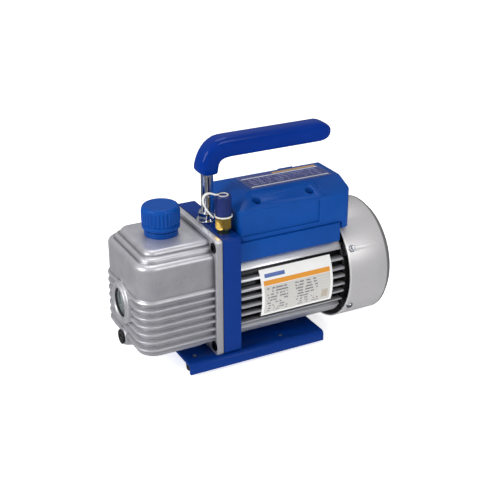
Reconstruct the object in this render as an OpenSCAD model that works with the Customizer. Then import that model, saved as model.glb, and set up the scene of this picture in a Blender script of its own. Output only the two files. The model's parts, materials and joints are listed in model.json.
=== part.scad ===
// Portable single-stage rotary vane vacuum pump for refrigeration work, direct driven.
// Millimetres. +X runs from the oil reservoir to the fan end, +Z is up, -Y is the nameplate side.
// The origin is on the floor, under the middle of the pump's overall box.

/* [Layout] */
// Height of the motor shaft above the floor
shaft_z = 63.4; // [63.2:0.1:63.6]
// X of the joint between the oil reservoir and the bracket
split_x = -50; // [-50.2:0.1:-49.8]
// Half of the overall length
half_length = 135; // [134.8:0.1:135.4]

/* [Base] */
// Length of the bent sheet base in front of the bracket joint
base_front = 37.1; // [34:0.1:40]
// Length of the base behind the bracket joint
base_rear = 108.5; // [106:0.1:111]
// Width of the base over its skirts
base_w = 111.4; // [110:0.1:113]
// Height of the base's top face
base_top = 13.6; // [13.4:0.1:13.8]
// Height of the skirt's lower edge
skirt_z = 3; // [2:0.1:4]
// Thickness of the sheet
sheet_t = 3; // [2.5:0.1:3]
// Radius of a rubber foot
foot_r = 9; // [7:0.1:9]

/* [Bracket] */
// Thickness of the pump bracket
bracket_t = 18.2; // [18:0.1:18.4]
// Width of the bracket
bracket_w = 103.4; // [103:0.1:104]
// Height of the bracket's top face
bracket_top = 132.7; // [132.5:0.1:133]

/* [Oil reservoir] */
// Thickness of the reservoir's flange with its gasket
flange_t = 7.2; // [7:0.1:7.5]
// Length of the reservoir from the joint to its fin tips
reservoir_len = 82; // [81.5:0.1:82.5]
// Width over the fin tips
reservoir_w = 98; // [97:0.1:98.5]
// Height of the reservoir's underside
reservoir_bottom = 24.5; // [24:0.1:25]
// Height of the plateau on top
plateau_z = 128.2; // [128:0.1:128.4]
// Number of cooling fins
fin_count = 7; // [5:1:7]
// Distance between fins
fin_pitch = 8.08; // [7.9:0.01:8.1]
// Height of the lowest fin's middle
fin_z = 33.6; // [33.4:0.1:33.8]
// Height of the sight glass
sight_z = 66; // [65.5:0.1:66.5]

/* [Motor] */
// Radius over the motor's fins
fin_r = 54; // [53.5:0.1:54]
// Length of the motor housing
housing_len = 114.2; // [113.8:0.1:114.6]
// Outer radius of the fan cover
cover_r = 59.5; // [59:0.1:60]
// Depth of the fan cover
cover_len = 49.7; // [49.5:0.1:50]
// Number of fan blades
blade_count = 9; // [5:1:11]

/* [Terminal box] */
// Height of the seam between box base and box cover
seam_z = 122.5; // [122.3:0.1:122.7]
// Height of the flat top
box_top = 162; // [161:0.1:163]
// Width of the box cover
box_w = 87; // [86:0.1:88]

/* [Handle] */
// Radius of the chromed post
post_r = 6; // [5.8:0.1:6]
// Height of the grip's upper side
grip_top = 214.3; // [214:0.1:214.6]
// Thickness of the grip
grip_t = 20.6; // [20:0.1:21]
// X of the grip's tip
grip_tip = 91.5; // [88:0.1:93]

/* [Hidden] */
$fn = 96;

BLUE = "#1c4a9c";
SILVER = "#c9cacd";
STEEL = "#8f9296";
BLACK = "#1d1d1f";
RUBBER = "#2a2a2b";
BRASS = "#c8a03c";
CHROME = "#d8dadd";
COPPER = "#b5653a";
IRON = "#5d5f62";
WHITE = "#eeeeea";

fit = 0.05;                                // radial gap of a seated round part
gap = 0.3;                                 // gap between parts on different bodies
post_x = split_x + bracket_t / 2;
bracket_x1 = split_x + bracket_t;
base_x0 = split_x - base_front;
base_x1 = split_x + base_rear;
gasket_t = 0.6;
flange_x0 = split_x - flange_t;
flange_x1 = split_x - gasket_t;
corner_r = 3;

foot_h = base_top - sheet_t;
feet = [[split_x - 26, 40], [split_x - 26, -40], [split_x + 66, 42.8], [split_x + 66, -42.8]];
base_bolt_y = 30;

reservoir_bolts_yz = [for (y = [-46, 46], z = [22, 124.5]) [y, z]];
tie_r = 49.5;
tie_angles = [39.25, 140.75, -40.5, -139.5];

// Reservoir shell
tip_x = split_x - reservoir_len;
tip_y = reservoir_w / 2;
smooth_in = 1.9;                           // the smooth wall stands this far inside the fin tips
root_in = 3.9;                             // the valleys between fins stand this far inside them
fin_thick = 3.6;
fin_top = fin_z + (fin_count - 1) * fin_pitch + fin_thick / 2;
plan_r = 18;
wall_t = 4;

// Sight glass and drain
boss_x0 = tip_x - 1.4;
bezel_x1 = boss_x0 + 2.4;
lens_x1 = bezel_x1 + 2.8;
drain_z = 29.5;
drain_face = tip_x - 0.6;
drain_seal_t = 0.8;

// Oil filler
filler_x = split_x - 39;
neck_r = 16;
neck_top = plateau_z + 6.3;
filler_cap_z0 = neck_top + 0.7;
filler_cap_z1 = 157.3;
filler_thread_r = 13;
filler_seal_z = 150;
filler_ribs = 30;

// Pump
bore_r = 27;
bore_z = shaft_z + 5;
cylinder_r = 35;
cylinder_len = 38;
cylinder_x0 = split_x - cylinder_len;
rotor_r = 21.95;
end_cover_t = 8;
pump_screw_r = 31;
journal_r = 7.5;
inlet_y = -34;
inlet_port_z = 60;
valve_flat_y = 31.6;
valve_z = 56;
port_x = [cylinder_x0 + 8, split_x - 8];
valve_screw_x = [cylinder_x0 + 16.5, split_x - 16.5];
vane_t = 4;
vane_inner = 12.5;
spring_x = [cylinder_x0 + 9, split_x - 9];
seal_w = 5;
seal_r = 13;

// Inlet fitting
fitting_z = bracket_top;
hex_z0 = fitting_z + 3.6;
hex_z1 = fitting_z + 16;
flare_r = 5.56;
flare_top = fitting_z + 31.3;
inlet_cap_z0 = hex_z1 + 1.5;
inlet_cap_z1 = inlet_cap_z0 + 19.6;
inlet_cap_r = 7.7;
inlet_gasket_t = 1;
strap_w = 2.6;
strap_t = 1.4;
tether_route = [[-51.2, 149.4], [-55.2, 154.2], [-58.9, 160], [-61, 164.7], [-61.3, 169.1],
    [-59.6, 172.4], [-56.4, 173.7], [-52.9, 173], [-49.8, 171.6], [-46, 170.6]];

// Motor
housing_x1 = bracket_x1 + housing_len;
core_r = 46.5;
housing_bore = 44;
fin_angles = [24, 14, 5.7, -3.4, -12.6, -24.4];
bearing_w = 11;
bearing_r = 17.5;
race_r = 12.25;
ball_r = 2.95;
ball_count = 8;
front_bearing_x = bracket_x1 - bearing_w;
rear_bearing_x = housing_x1 + 4;
stator_x0 = bracket_x1 + 27;
stator_len = 56;
slot_count = 12;
slot_r = 3.5;
slot_pcd_r = 34;
rotor_gap_r = 26.5;
fan_x0 = rear_bearing_x + bearing_w + 5;
cover_x0 = half_length - cover_len;
cover_t = 1.2;
bevel = 4.5;
lug_angles = [31.7, 148.3, -31.7, -148.3];
lug_x = cover_x0 + 5.7;
plate_x0 = split_x + 39.4;
plate_x1 = split_x + 118;
plate_a0 = -19.5;
plate_a1 = 31.5;

// Terminal box
box_x0 = split_x + 20;
box_x1 = split_x + 143;
box_base_x1 = cover_x0 - 5.3;
box_base_z = 103.5;
box_base_w = 90;
eave_z = 152;
ridge_w = 39;
hip_len = 21;
box_wall = 2.6;
tail_z = 115.7;
screw_x = [split_x + 44.5, split_x + 101.5];
screw_y = 32.5;
screw_head_z = 146;
panel_x1 = split_x + 107;
label_x0 = split_x + 47;
label_x1 = split_x + 137;
label_w = 35;
inlet_socket_y = -15;
switch_y = 19;
rear_panel_z = 141;
rocker_x = box_x1 - 3;
rocker_half = 8;
rocker_tilt = 9;

// Handle
bar_z = grip_top - grip_t / 2;
collar_z = 180;
grip_w = 21;

// ---- Shape helpers ----

module along_x(x0, x1) translate([x0, 0, 0]) rotate([90, 0, 90]) linear_extrude(x1 - x0) children();

module along_y(y0, y1) translate([0, y1, 0]) rotate([90, 0, 0]) linear_extrude(y1 - y0) children();

module along_z(z0, z1) translate([0, 0, z0]) linear_extrude(z1 - z0) children();

module rod_x(x0, x1, r, y = 0, z = shaft_z, sides = $fn)
    translate([x0, y, z]) rotate([0, 90, 0]) cylinder(h = x1 - x0, r = r, $fn = sides);

module rod_y(y0, y1, r, x, z) translate([x, y0, z]) rotate([-90, 0, 0]) cylinder(h = y1 - y0, r = r);

module rod_z(z0, z1, r, x, y, sides = $fn)
    translate([x, y, z0]) cylinder(h = z1 - z0, r = r, $fn = sides);

module ring_x(x0, x1, ro, ri, y = 0, z = shaft_z)
    difference() {
        rod_x(x0, x1, ro, y, z);
        rod_x(x0 - 1, x1 + 1, ri, y, z);
    }

module ring_z(z0, z1, ro, ri, x, y)
    difference() {
        rod_z(z0, z1, ro, x, y);
        rod_z(z0 - 1, z1 + 1, ri, x, y);
    }

module box(x0, x1, y0, y1, z0, z1)
    translate([x0, y0, z0]) cube([x1 - x0, y1 - y0, z1 - z0]);

module both_sides() for (s = [0, 1]) mirror([0, s, 0]) children();

module rounded_rect(w, h, r) {
    square([w - 2 * r, h], center = true);
    square([w, h - 2 * r], center = true);
    for (sx = [-1, 1], sy = [-1, 1])
        translate([sx * (w / 2 - r), sy * (h / 2 - r)]) circle(r);
}

module wedge(a0, a1, r)
    polygon([[0, 0], [r * cos(a0), r * sin(a0)], [r * cos((a0 + a1) / 2), r * sin((a0 + a1) / 2)],
        [r * cos(a1), r * sin(a1)]]);

// A screw along +X: the head's face is at x0, with a hexagon socket
module socket_screw_x(x0, y, z, head_r, head_h, r, len, socket_r)
    difference() {
        union() {
            rod_x(x0, x0 + head_h, head_r, y, z);
            rod_x(x0 + head_h - 0.1, x0 + head_h + len, r, y, z);
        }
        rod_x(x0 - 1, x0 + head_h * 0.55, socket_r, y, z, 6);
    }

// ---- Base ----

module skirted(w, z0, z1, r) {
    translate([-w / 2, z0]) square([w, z1 - z0 - r]);
    translate([-w / 2 + r, z0]) square([w - 2 * r, z1 - z0]);
    for (s = [-1, 1]) translate([s * (w / 2 - r), z1 - r]) circle(r);
}

module base_plate() {
    color(BLUE)
    difference() {
        along_x(base_x0, base_x1) difference() {
            skirted(base_w, skirt_z, base_top, 4);
            skirted(base_w - 2 * sheet_t, skirt_z - 1, base_top - sheet_t, 0.6);
        }
        for (f = feet) rod_z(0, base_top + 1, 2.1, f[0], f[1]);
        for (s = [-1, 1]) rod_z(0, base_top + 1, 3.2, post_x, s * base_bolt_y);
    }
}

module rubber_feet() {
    color(RUBBER)
    for (f = feet) translate([f[0], f[1], 0])
        difference() {
            cylinder(h = foot_h, r1 = foot_r - 1, r2 = foot_r);
            translate([0, 0, -1]) cylinder(h = foot_h + 2, r = 2.1);
            translate([0, 0, -1]) cylinder(h = 5, r = 4.6);
        }
}

module foot_screws() {
    color(STEEL)
    for (f = feet) {
        rod_z(1.6, 4, 4, f[0], f[1]);
        rod_z(3.9, base_top, 2, f[0], f[1]);
    }
}

module base_bolts() {
    color(STEEL)
    for (s = [-1, 1]) {
        rod_z(foot_h - 4, foot_h, 5.77, post_x, s * base_bolt_y, 6);
        rod_z(foot_h - 0.1, base_top + 13, 2.95, post_x, s * base_bolt_y);
    }
}

// ---- Bracket ----

module bracket_outline() translate([0, (base_top + bracket_top) / 2])
    rounded_rect(bracket_w, bracket_top - base_top, corner_r);

module pump_screw_places()
    for (a = [45:90:315])
        translate([0, pump_screw_r * cos(a), bore_z + pump_screw_r * sin(a)]) children();

module pump_bracket() {
    color(BLUE)
    difference() {
        along_x(split_x, bracket_x1) bracket_outline();
        rod_x(front_bearing_x, bracket_x1 + 1, bearing_r + fit);
        rod_x(split_x - 1, bracket_x1, journal_r + 1);
        rod_x(split_x - 1, split_x + seal_w, seal_r + fit);
        rod_z(inlet_port_z - 3, bracket_top + 1, 3, post_x, inlet_y);
        rod_z(bracket_top - 12, bracket_top + 1, 6, post_x, inlet_y);
        rod_x(split_x - 1, post_x, 3, inlet_y, inlet_port_z);
        rod_z(bracket_top - 30, bracket_top + 1, post_r + fit, post_x, 0);
        for (p = reservoir_bolts_yz) rod_x(split_x - 1, split_x + 12, 3.05, p[0], p[1]);
        for (a = tie_angles)
            rod_x(bracket_x1 - 5.5, bracket_x1 + 1, 2.55, tie_r * cos(a), shaft_z + tie_r * sin(a));
        for (s = [-1, 1]) rod_z(base_top - 1, base_top + 15, 3, post_x, s * base_bolt_y);
        pump_screw_places() rod_x(split_x - 1, split_x + 8, 2.05, 0, 0);
    }
}

// ---- Oil reservoir ----

// Outline seen from above: round front corners, open towards the bracket
module reservoir_plan(inset, r, x1 = flange_x0 + 1) {
    x0 = tip_x + inset;
    yh = tip_y - inset;
    translate([x0 + r, -yh]) square([x1 - x0 - r, 2 * yh]);
    translate([x0, -yh + r]) square([r + 1, 2 * (yh - r)]);
    for (s = [-1, 1]) translate([x0 + r, s * (yh - r)]) circle(r);
}

// A wall section from the middle out to x = w, its upper outer edge rounded by e
module edge_section(w, z0, z1, e) {
    translate([0, z0]) square([w, z1 - e - z0]);
    translate([0, z0]) square([w - e, z1 - z0]);
    translate([w - e, z1 - e]) circle(e);
}

// A slab with that outline and a rounded upper edge, from a side run, a front run and two corners
module soft_slab(inset, r, z0, z1, e) {
    x0 = tip_x + inset;
    yh = tip_y - inset;
    along_x(x0 + r, flange_x0 + 1) skirted(2 * yh, z0, z1, e);
    translate([x0 + r, 0, 0]) mirror([1, 0, 0]) along_y(-(yh - r), yh - r) edge_section(r, z0, z1, e);
    both_sides() translate([x0 + r, yh - r, 0]) rotate([0, 0, 90])
        rotate_extrude(angle = 90) edge_section(r, z0, z1, e);
}

module reservoir_cavity() {
    along_z(reservoir_bottom + 4.5, 114) reservoir_plan(root_in + wall_t - 0.9, 13, split_x + 1);
    along_z(100, plateau_z - 4) reservoir_plan(16, 8, split_x + 1);
}

module oil_reservoir() {
    color(SILVER)
    difference() {
        union() {
            along_x(flange_x0, flange_x1) bracket_outline();
            soft_slab(smooth_in, plan_r - 2, fin_top - 1, 118.3, 5);
            soft_slab(8, plan_r - 5, 110, 122.6, 3);
            soft_slab(12.5, plan_r - 6, 112, plateau_z, 5);
            along_z(fin_z, fin_top) reservoir_plan(root_in, plan_r - 4);
            translate([0, 0, 2 * fin_z]) mirror([0, 0, 1])
                soft_slab(smooth_in, plan_r - 2, fin_z - 1, 2 * fin_z - reservoir_bottom, 7);
            for (i = [0:fin_count - 1])
                along_z(fin_z + i * fin_pitch - fin_thick / 2, fin_z + i * fin_pitch + fin_thick / 2)
                    reservoir_plan(0, plan_r);
            rod_x(boss_x0, tip_x + 8, 21, 0, sight_z);
            rod_x(drain_face, tip_x + 8, 8.5, 0, drain_z);
        }
        reservoir_cavity();
        rod_x(boss_x0 - 1, tip_x + 20, 13, 0, sight_z);
        rod_x(boss_x0 - 1, lens_x1 + 1, 16 + fit, 0, sight_z);
        rod_x(boss_x0 - 1, bezel_x1, 18 + fit, 0, sight_z);
        rod_x(drain_face - 1, tip_x + 12, 4.05, 0, drain_z);
        rod_z(110, plateau_z + 1, 12 + fit, filler_x, 0);
        for (p = reservoir_bolts_yz) {
            rod_x(flange_x0 - 1, split_x, 3.3, p[0], p[1]);
            rod_x(flange_x0 - 1, flange_x0 + 4, 5.2, p[0], p[1]);
            rod_x(flange_x0 - 13, flange_x0, 6.2, p[0], p[1]);
        }
    }
}

module reservoir_gasket() {
    color(BLACK)
    difference() {
        along_x(flange_x1, split_x) translate([0, (base_top + bracket_top) / 2])
            rounded_rect(bracket_w - 1, bracket_top - base_top - 1, corner_r);
        reservoir_cavity();
        for (p = reservoir_bolts_yz) rod_x(flange_x1 - 1, split_x + 1, 3.3, p[0], p[1]);
    }
}

module reservoir_bolts() {
    color(BLACK)
    for (p = reservoir_bolts_yz)
        socket_screw_x(flange_x0 - 1, p[0], p[1], 5, 5, 3, 12, 2.9);
}

module sight_glass_bezel() {
    color(SILVER)
    difference() {
        union() {
            rod_x(-half_length + 0.8, bezel_x1, 18, 0, sight_z);
            rod_x(-half_length, bezel_x1, 17.2, 0, sight_z);
        }
        rod_x(-half_length - 1, bezel_x1 + 1, 13.6, 0, sight_z);
        translate([-half_length - 0.01, 0, sight_z]) rotate([0, 90, 0])
            cylinder(h = 2, r1 = 15.2, r2 = 13.6);
    }
}

module sight_glass_lens() {
    color("lightcyan", 0.5)
    rod_x(bezel_x1, lens_x1, 16, 0, sight_z);
}

module sight_glass_seal() {
    color(BLACK)
    ring_x(lens_x1, lens_x1 + 1, 15.9, 13.4, 0, sight_z);
}

module drain_plug() {
    color(BLACK)
    difference() {
        union() {
            rod_x(-half_length, drain_face - drain_seal_t, 7.2, 0, drain_z);
            rod_x(drain_face - drain_seal_t - 0.1, tip_x + 7, 3.7, 0, drain_z);
        }
        rod_x(-half_length - 1, -half_length + 1.2, 3.4, 0, drain_z, 6);
    }
}

module drain_plug_seal() {
    color(RUBBER)
    ring_x(drain_face - drain_seal_t, drain_face, 6.2, 4.1, 0, drain_z);
}

// ---- Oil filler ----

module filler_neck() {
    color(BLUE)
    difference() {
        union() {
            rod_z(plateau_z, neck_top - 1, neck_r, filler_x, 0);
            rod_z(plateau_z, neck_top, neck_r - 1, filler_x, 0);
            rod_z(plateau_z - 12, filler_seal_z - 0.5, 12, filler_x, 0);
            rod_z(plateau_z, filler_seal_z - 0.1, filler_thread_r, filler_x, 0);
        }
        rod_z(plateau_z - 13, filler_seal_z + 1, 9.6, filler_x, 0);
    }
}

module exhaust_filter() {
    color("lightgray")
    difference() {
        rod_z(plateau_z - 22, plateau_z + 16, 9.5, filler_x, 0);
        rod_z(plateau_z - 18, plateau_z + 17, 5.5, filler_x, 0);
    }
}

module filler_cap_seal() {
    color(RUBBER)
    ring_z(filler_seal_z, filler_seal_z + 1, 12.6, 10, filler_x, 0);
}

module oil_filler_cap() {
    color(BLUE)
    difference() {
        union() {
            rod_z(filler_cap_z0, filler_cap_z0 + 4.4, 18, filler_x, 0);
            rod_z(filler_cap_z0 + 4, filler_cap_z1 - 3, 17.4, filler_x, 0);
            translate([filler_x, 0, filler_cap_z1 - 3]) cylinder(h = 3, r1 = 18, r2 = 16);
            translate([filler_x, 0, 0]) along_z(filler_cap_z0 + 4.4, filler_cap_z1 - 3)
                for (i = [0:filler_ribs - 1]) rotate(i * 360 / filler_ribs)
                    translate([17.3, 0]) circle(r = 1, $fn = 16);
        }
        rod_z(filler_cap_z0 - 1, filler_seal_z + 1.1, filler_thread_r + gap, filler_x, 0);
    }
}

// ---- Pump ----

module pump_cylinder() {
    color(IRON)
    difference() {
        union() {
            rod_x(cylinder_x0, split_x, cylinder_r, 0, bore_z);
            rod_x(split_x - 14, split_x, 7, inlet_y, inlet_port_z);
        }
        rod_x(cylinder_x0 - 1, split_x + 1, bore_r, 0, bore_z);
        box(cylinder_x0 + 3, split_x - 3, valve_flat_y, 40, valve_z - 9, valve_z + 9);
        rod_x(split_x - 8, split_x + 1, 2.9, inlet_y, inlet_port_z);
        rod_y(inlet_y, -20, 2.9, split_x - 6, inlet_port_z);
        for (x = port_x) rod_y(20, 40, 2.5, x, valve_z);
        for (x = valve_screw_x) rod_y(valve_flat_y - 5, 40, 1.52, x, valve_z);
        pump_screw_places() rod_x(cylinder_x0 - 1, split_x + 1, 2.1, 0, 0);
    }
}

module pump_end_cover() {
    color(IRON)
    difference() {
        rod_x(cylinder_x0 - end_cover_t, cylinder_x0, cylinder_r, 0, bore_z);
        rod_x(cylinder_x0 - 6, cylinder_x0 + 1, journal_r + fit);
        pump_screw_places() rod_x(cylinder_x0 - end_cover_t - 1, cylinder_x0 + 1, 2.1, 0, 0);
    }
}

module pump_cover_screws() {
    color(STEEL)
    pump_screw_places()
        socket_screw_x(cylinder_x0 - end_cover_t - 4, 0, 0, 3.5, 4, 2, cylinder_len + end_cover_t + 7, 1.7);
}

module pump_rotor() {
    color(STEEL)
    difference() {
        rod_x(cylinder_x0 + 0.15, split_x - 0.15, rotor_r);
        rod_x(cylinder_x0 - 1, split_x + 1, journal_r + fit);
        box(cylinder_x0 - 1, split_x + 1, -2.05, 2.05, shaft_z, shaft_z + 9.6);
        both_sides() box(cylinder_x0 - 1, split_x + 1, 9.5, rotor_r + 1,
            shaft_z - vane_t / 2 - fit, shaft_z + vane_t / 2 + fit);
    }
}

module vane() {
    difference() {
        box(cylinder_x0 + 0.35, split_x - 0.35, vane_inner, rotor_r - 0.1,
            shaft_z - vane_t / 2, shaft_z + vane_t / 2);
        for (x = spring_x) rod_y(vane_inner - 1, vane_inner + 5.5, 1.3, x, shaft_z);
    }
}

module vane_a() {
    color(COPPER)
    vane();
}

module vane_b() {
    color(COPPER)
    mirror([0, 1, 0]) vane();
}

module vane_springs() {
    color(STEEL)
    both_sides()
        for (x = spring_x) rod_y(9.5, vane_inner + 5.2, 1.2, x, shaft_z);
}

module discharge_reed() {
    color(CHROME)
    difference() {
        box(cylinder_x0 + 4.5, split_x - 4.5, valve_flat_y, valve_flat_y + 0.4, valve_z - 5, valve_z + 5);
        for (x = valve_screw_x) rod_y(valve_flat_y - 1, valve_flat_y + 2, 1.55, x, valve_z);
    }
}

module valve_stop() {
    color(STEEL)
    difference() {
        box(cylinder_x0 + 4.5, split_x - 4.5, valve_flat_y + 0.4, valve_flat_y + 2, valve_z - 5, valve_z + 5);
        for (x = valve_screw_x) rod_y(valve_flat_y, valve_flat_y + 3, 1.55, x, valve_z);
        for (x = port_x)
            box(x - 4.5, x + 4.5, valve_flat_y, valve_flat_y + 1, valve_z - 6, valve_z + 6);
    }
}

module valve_screws() {
    color(STEEL)
    for (x = valve_screw_x) {
        rod_y(valve_flat_y + 2, valve_flat_y + 4, 2.8, x, valve_z);
        rod_y(valve_flat_y - 4.5, valve_flat_y + 2.1, 1.5, x, valve_z);
    }
}

module shaft_seal() {
    color(RUBBER)
    ring_x(split_x, split_x + seal_w, seal_r, journal_r + 0.1);
}

// ---- Inlet ----

module inlet_fitting() {
    color(BRASS)
    difference() {
        union() {
            rod_z(fitting_z - 11, fitting_z + 1, 5.95, post_x, inlet_y);
            translate([post_x, inlet_y, fitting_z]) cylinder(h = 4.6, r1 = 5.7, r2 = 7);
            intersection() {
                rod_z(hex_z0, hex_z1, 8.3, post_x, inlet_y, 6);
                translate([post_x, inlet_y, hex_z0 - 4]) cylinder(h = 9, r1 = 4, r2 = 10);
            }
            rod_z(hex_z0 + 4, hex_z1, 8.3, post_x, inlet_y, 6);
            rod_z(hex_z1 - 1, flare_top - 2.5, flare_r, post_x, inlet_y);
            translate([post_x, inlet_y, flare_top - 2.5]) cylinder(h = 2.5, r1 = flare_r, r2 = 3.2);
        }
        rod_z(fitting_z - 12, flare_top + 1, 2.4, post_x, inlet_y);
        rod_z(fitting_z - 12, fitting_z - 9, 4.3, post_x, inlet_y);
    }
}

module inlet_screen() {
    color(STEEL)
    difference() {
        rod_z(fitting_z - 10.6, fitting_z - 9.6, 4.2, post_x, inlet_y);
        for (a = [0:60:300])
            rod_z(fitting_z - 12, fitting_z - 8, 0.6, post_x + 2 * cos(a), inlet_y + 2 * sin(a));
    }
}

module inlet_cap() {
    color(BLUE)
    difference() {
        union() {
            rod_z(inlet_cap_z0, inlet_cap_z1 - 1.4, inlet_cap_r, post_x, inlet_y);
            rod_z(inlet_cap_z0, inlet_cap_z1, inlet_cap_r - 1.2, post_x, inlet_y);
        }
        rod_z(inlet_cap_z0 - 1, flare_top + inlet_gasket_t + 0.1, flare_r + gap, post_x, inlet_y);
        rod_z(inlet_cap_z1 - 1.6, inlet_cap_z1 + 1, inlet_cap_r - 2.4, post_x, inlet_y);
    }
}

module inlet_cap_gasket() {
    color(BLACK)
    rod_z(flare_top, flare_top + inlet_gasket_t, flare_r, post_x, inlet_y);
}

// The strap's side line, t to the left of its route
function strap_side(t) = [for (i = [0:len(tether_route) - 1])
    let (a = tether_route[max(i - 1, 0)], b = tether_route[min(i + 1, len(tether_route) - 1)],
        d = (b - a) / norm(b - a)) tether_route[i] + t * [-d[1], d[0]]];

function reversed(v) = [for (i = [len(v) - 1:-1:0]) v[i]];

module inlet_cap_tether() {
    color(WHITE)
    union() {
        ring_z(hex_z1 + 0.1, hex_z1 + 1.3, 8.9, flare_r + gap, post_x, inlet_y);
        along_y(inlet_y - strap_w / 2, inlet_y + strap_w / 2)
            polygon(concat(strap_side(strap_t / 2), reversed(strap_side(-strap_t / 2))));
        ring_z(inlet_cap_z1 - 1.4, inlet_cap_z1 + 1.5, 4.9, 3.4, post_x, inlet_y);
    }
}

// ---- Handle ----

module handle_post() {
    color(CHROME)
    rod_z(bracket_top - 29.5, grip_top - 16, post_r, post_x, 0);
}

module handle_lock_nut() {
    color(CHROME)
    difference() {
        rod_z(bracket_top + 1.6, bracket_top + 8.6, 9.6, post_x, 0, 6);
        rod_z(bracket_top, bracket_top + 10, post_r + fit, post_x, 0);
    }
}

module handle_washer() {
    color(CHROME)
    ring_z(bracket_top, bracket_top + 1.6, 10.6, post_r + fit, post_x, 0);
}

// Side view of the grip: slanting collar, tight bend, straight bar with a round tip
module grip_profile() {
    x0 = split_x - 2.3;
    bend = 20;
    tip_r = grip_t / 2;
    translate([x0 + bend, bar_z - tip_r]) square([grip_tip - tip_r - x0 - bend, grip_t]);
    translate([x0 + bend, grip_top - bend]) intersection() {
        circle(bend);
        translate([-bend, 0]) square([bend, bend]);
    }
    polygon([[x0, grip_top - bend], [x0, 190.7], [x0 + 4.6, collar_z], [split_x + 17.6, collar_z],
        [split_x + 18.6, 188.5], [split_x + 24.5, bar_z - tip_r], [split_x + 26, grip_top - bend + 1]]);
    translate([grip_tip - tip_r, bar_z]) circle(tip_r);
}

module handle_grip() {
    color(BLUE)
    difference() {
        along_y(-grip_w / 2, grip_w / 2) grip_profile();
        rod_z(collar_z - 1, grip_top - 16, post_r + fit, post_x, 0);
    }
}

// ---- Motor ----

module motor_boss(a0, a1)
    intersection() {
        difference() {
            circle(fin_r);
            circle(core_r - 1);
        }
        wedge(a0, a1, fin_r * 1.2);
    }

module housing_section() {
    difference() {
        union() {
            circle(core_r);
            both_sides() {
                for (a = fin_angles)
                    intersection() {
                        circle(fin_r);
                        translate([core_r - 9, fin_r * sin(a) - 1.1]) square([20, 2.2]);
                    }
            }
            for (s = [0, 1]) mirror([s, 0]) {
                for (a = fin_angles)
                    intersection() {
                        circle(fin_r);
                        translate([core_r - 9, fin_r * sin(a) - 1.1]) square([20, 2.2]);
                    }
                motor_boss(34.5, 43.5);
                motor_boss(-47.5, -33.5);
            }
        }
        circle(housing_bore);
        for (a = tie_angles) rotate(a) translate([tie_r, 0]) circle(2.7);
    }
}

module motor_housing() {
    color(SILVER)
    along_x(bracket_x1, housing_x1) translate([0, shaft_z]) housing_section();
}

module motor_end_bell() {
    color(BLACK)
    difference() {
        union() {
            rod_x(housing_x1, housing_x1 + 7, 51.5);
            rod_x(housing_x1 - 4, housing_x1 + 1, housing_bore - fit);
            rod_x(housing_x1, rear_bearing_x + bearing_w + 2.5, 23);
            intersection() {
                union() for (a = lug_angles)
                    translate([0, 0, shaft_z]) rotate([a, 0, 0])
                        box(housing_x1 + 2, lug_x + 5, 46, cover_r, -5, 5);
                rod_x(housing_x1, lug_x + 9, cover_r - cover_t - fit);
            }
        }
        rod_x(housing_x1 - 5, housing_x1 + 2, 40);
        rod_x(housing_x1 - 5, rear_bearing_x + bearing_w, bearing_r + fit);
        rod_x(housing_x1, fan_x0, 11);
        for (a = tie_angles) translate([0, tie_r * cos(a), shaft_z + tie_r * sin(a)]) {
            rod_x(housing_x1 - 5, housing_x1 + 8, 2.7, 0, 0);
            rod_x(housing_x1 + 7, housing_x1 + 20, 4.7, 0, 0);
        }
        for (a = lug_angles)
            translate([lug_x, 0, shaft_z]) rotate([a, 0, 0]) rotate([-90, 0, 0])
                cylinder(h = cover_r + 1, r = 1.55);
        box(housing_x1 - 1, lug_x + 9, -30, 30, box_base_z + 7, 130);
    }
}

module tie_bolts() {
    color(STEEL)
    for (a = tie_angles) translate([0, tie_r * cos(a), shaft_z + tie_r * sin(a)]) {
        rod_x(bracket_x1 - 5, housing_x1 + 7, 2.5, 0, 0);
        rod_x(housing_x1 + 7, housing_x1 + 10.5, 4.3, 0, 0, 6);
    }
}

module slot_places()
    for (i = [0:slot_count - 1]) rotate(i * 360 / slot_count + 15) translate([slot_pcd_r, 0]) children();

module stator_core() {
    color(IRON)
    along_x(stator_x0, stator_x0 + stator_len) translate([0, shaft_z]) difference() {
        circle(housing_bore - fit);
        circle(27.2);
        slot_places() circle(slot_r);
    }
}

module stator_windings() {
    color(COPPER)
    union() {
        for (x = [stator_x0 - 14, stator_x0 + stator_len])
            translate([x, 0, shaft_z]) rotate([90, 0, 90]) rotate_extrude()
                translate([35, 7]) rounded_rect(13, 14, 4);
        along_x(stator_x0 - 2, stator_x0 + stator_len + 2) translate([0, shaft_z])
            slot_places() circle(slot_r - fit);
    }
}

module rotor_core() {
    color(STEEL)
    difference() {
        union() {
            rod_x(stator_x0 - 1, stator_x0 + stator_len + 1, rotor_gap_r);
            rod_x(stator_x0 - 8, stator_x0 + stator_len + 8, 23);
        }
        rod_x(stator_x0 - 9, stator_x0 + stator_len + 9, 8.55);
        rod_x(stator_x0 - 9, stator_x0 - 3, 17);
        rod_x(stator_x0 + stator_len + 3, stator_x0 + stator_len + 9, 17);
    }
}

module motor_shaft() {
    color(CHROME)
    difference() {
        union() {
            rod_x(cylinder_x0 - 5.5, rear_bearing_x + bearing_w, journal_r);
            rod_x(bracket_x1 + 2, rear_bearing_x - 1, 8.5);
            rod_x(rear_bearing_x + bearing_w - 1, fan_x0 + 13, 6);
        }
        box(cylinder_x0 + 8, cylinder_x0 + 27, -2.05, 2.05, shaft_z + 5.4, shaft_z + 9);
    }
}

module drive_key() {
    color(STEEL)
    box(cylinder_x0 + 8.1, cylinder_x0 + 26.9, -2, 2, shaft_z + 5.4, shaft_z + 9.5);
}

module bearing_ring(x0, ro, ri)
    translate([x0, 0, shaft_z]) rotate([90, 0, 90]) rotate_extrude() difference() {
        translate([ri, 0]) square([ro - ri, bearing_w]);
        translate([race_r, bearing_w / 2]) circle(ball_r + fit);
    }

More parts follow.
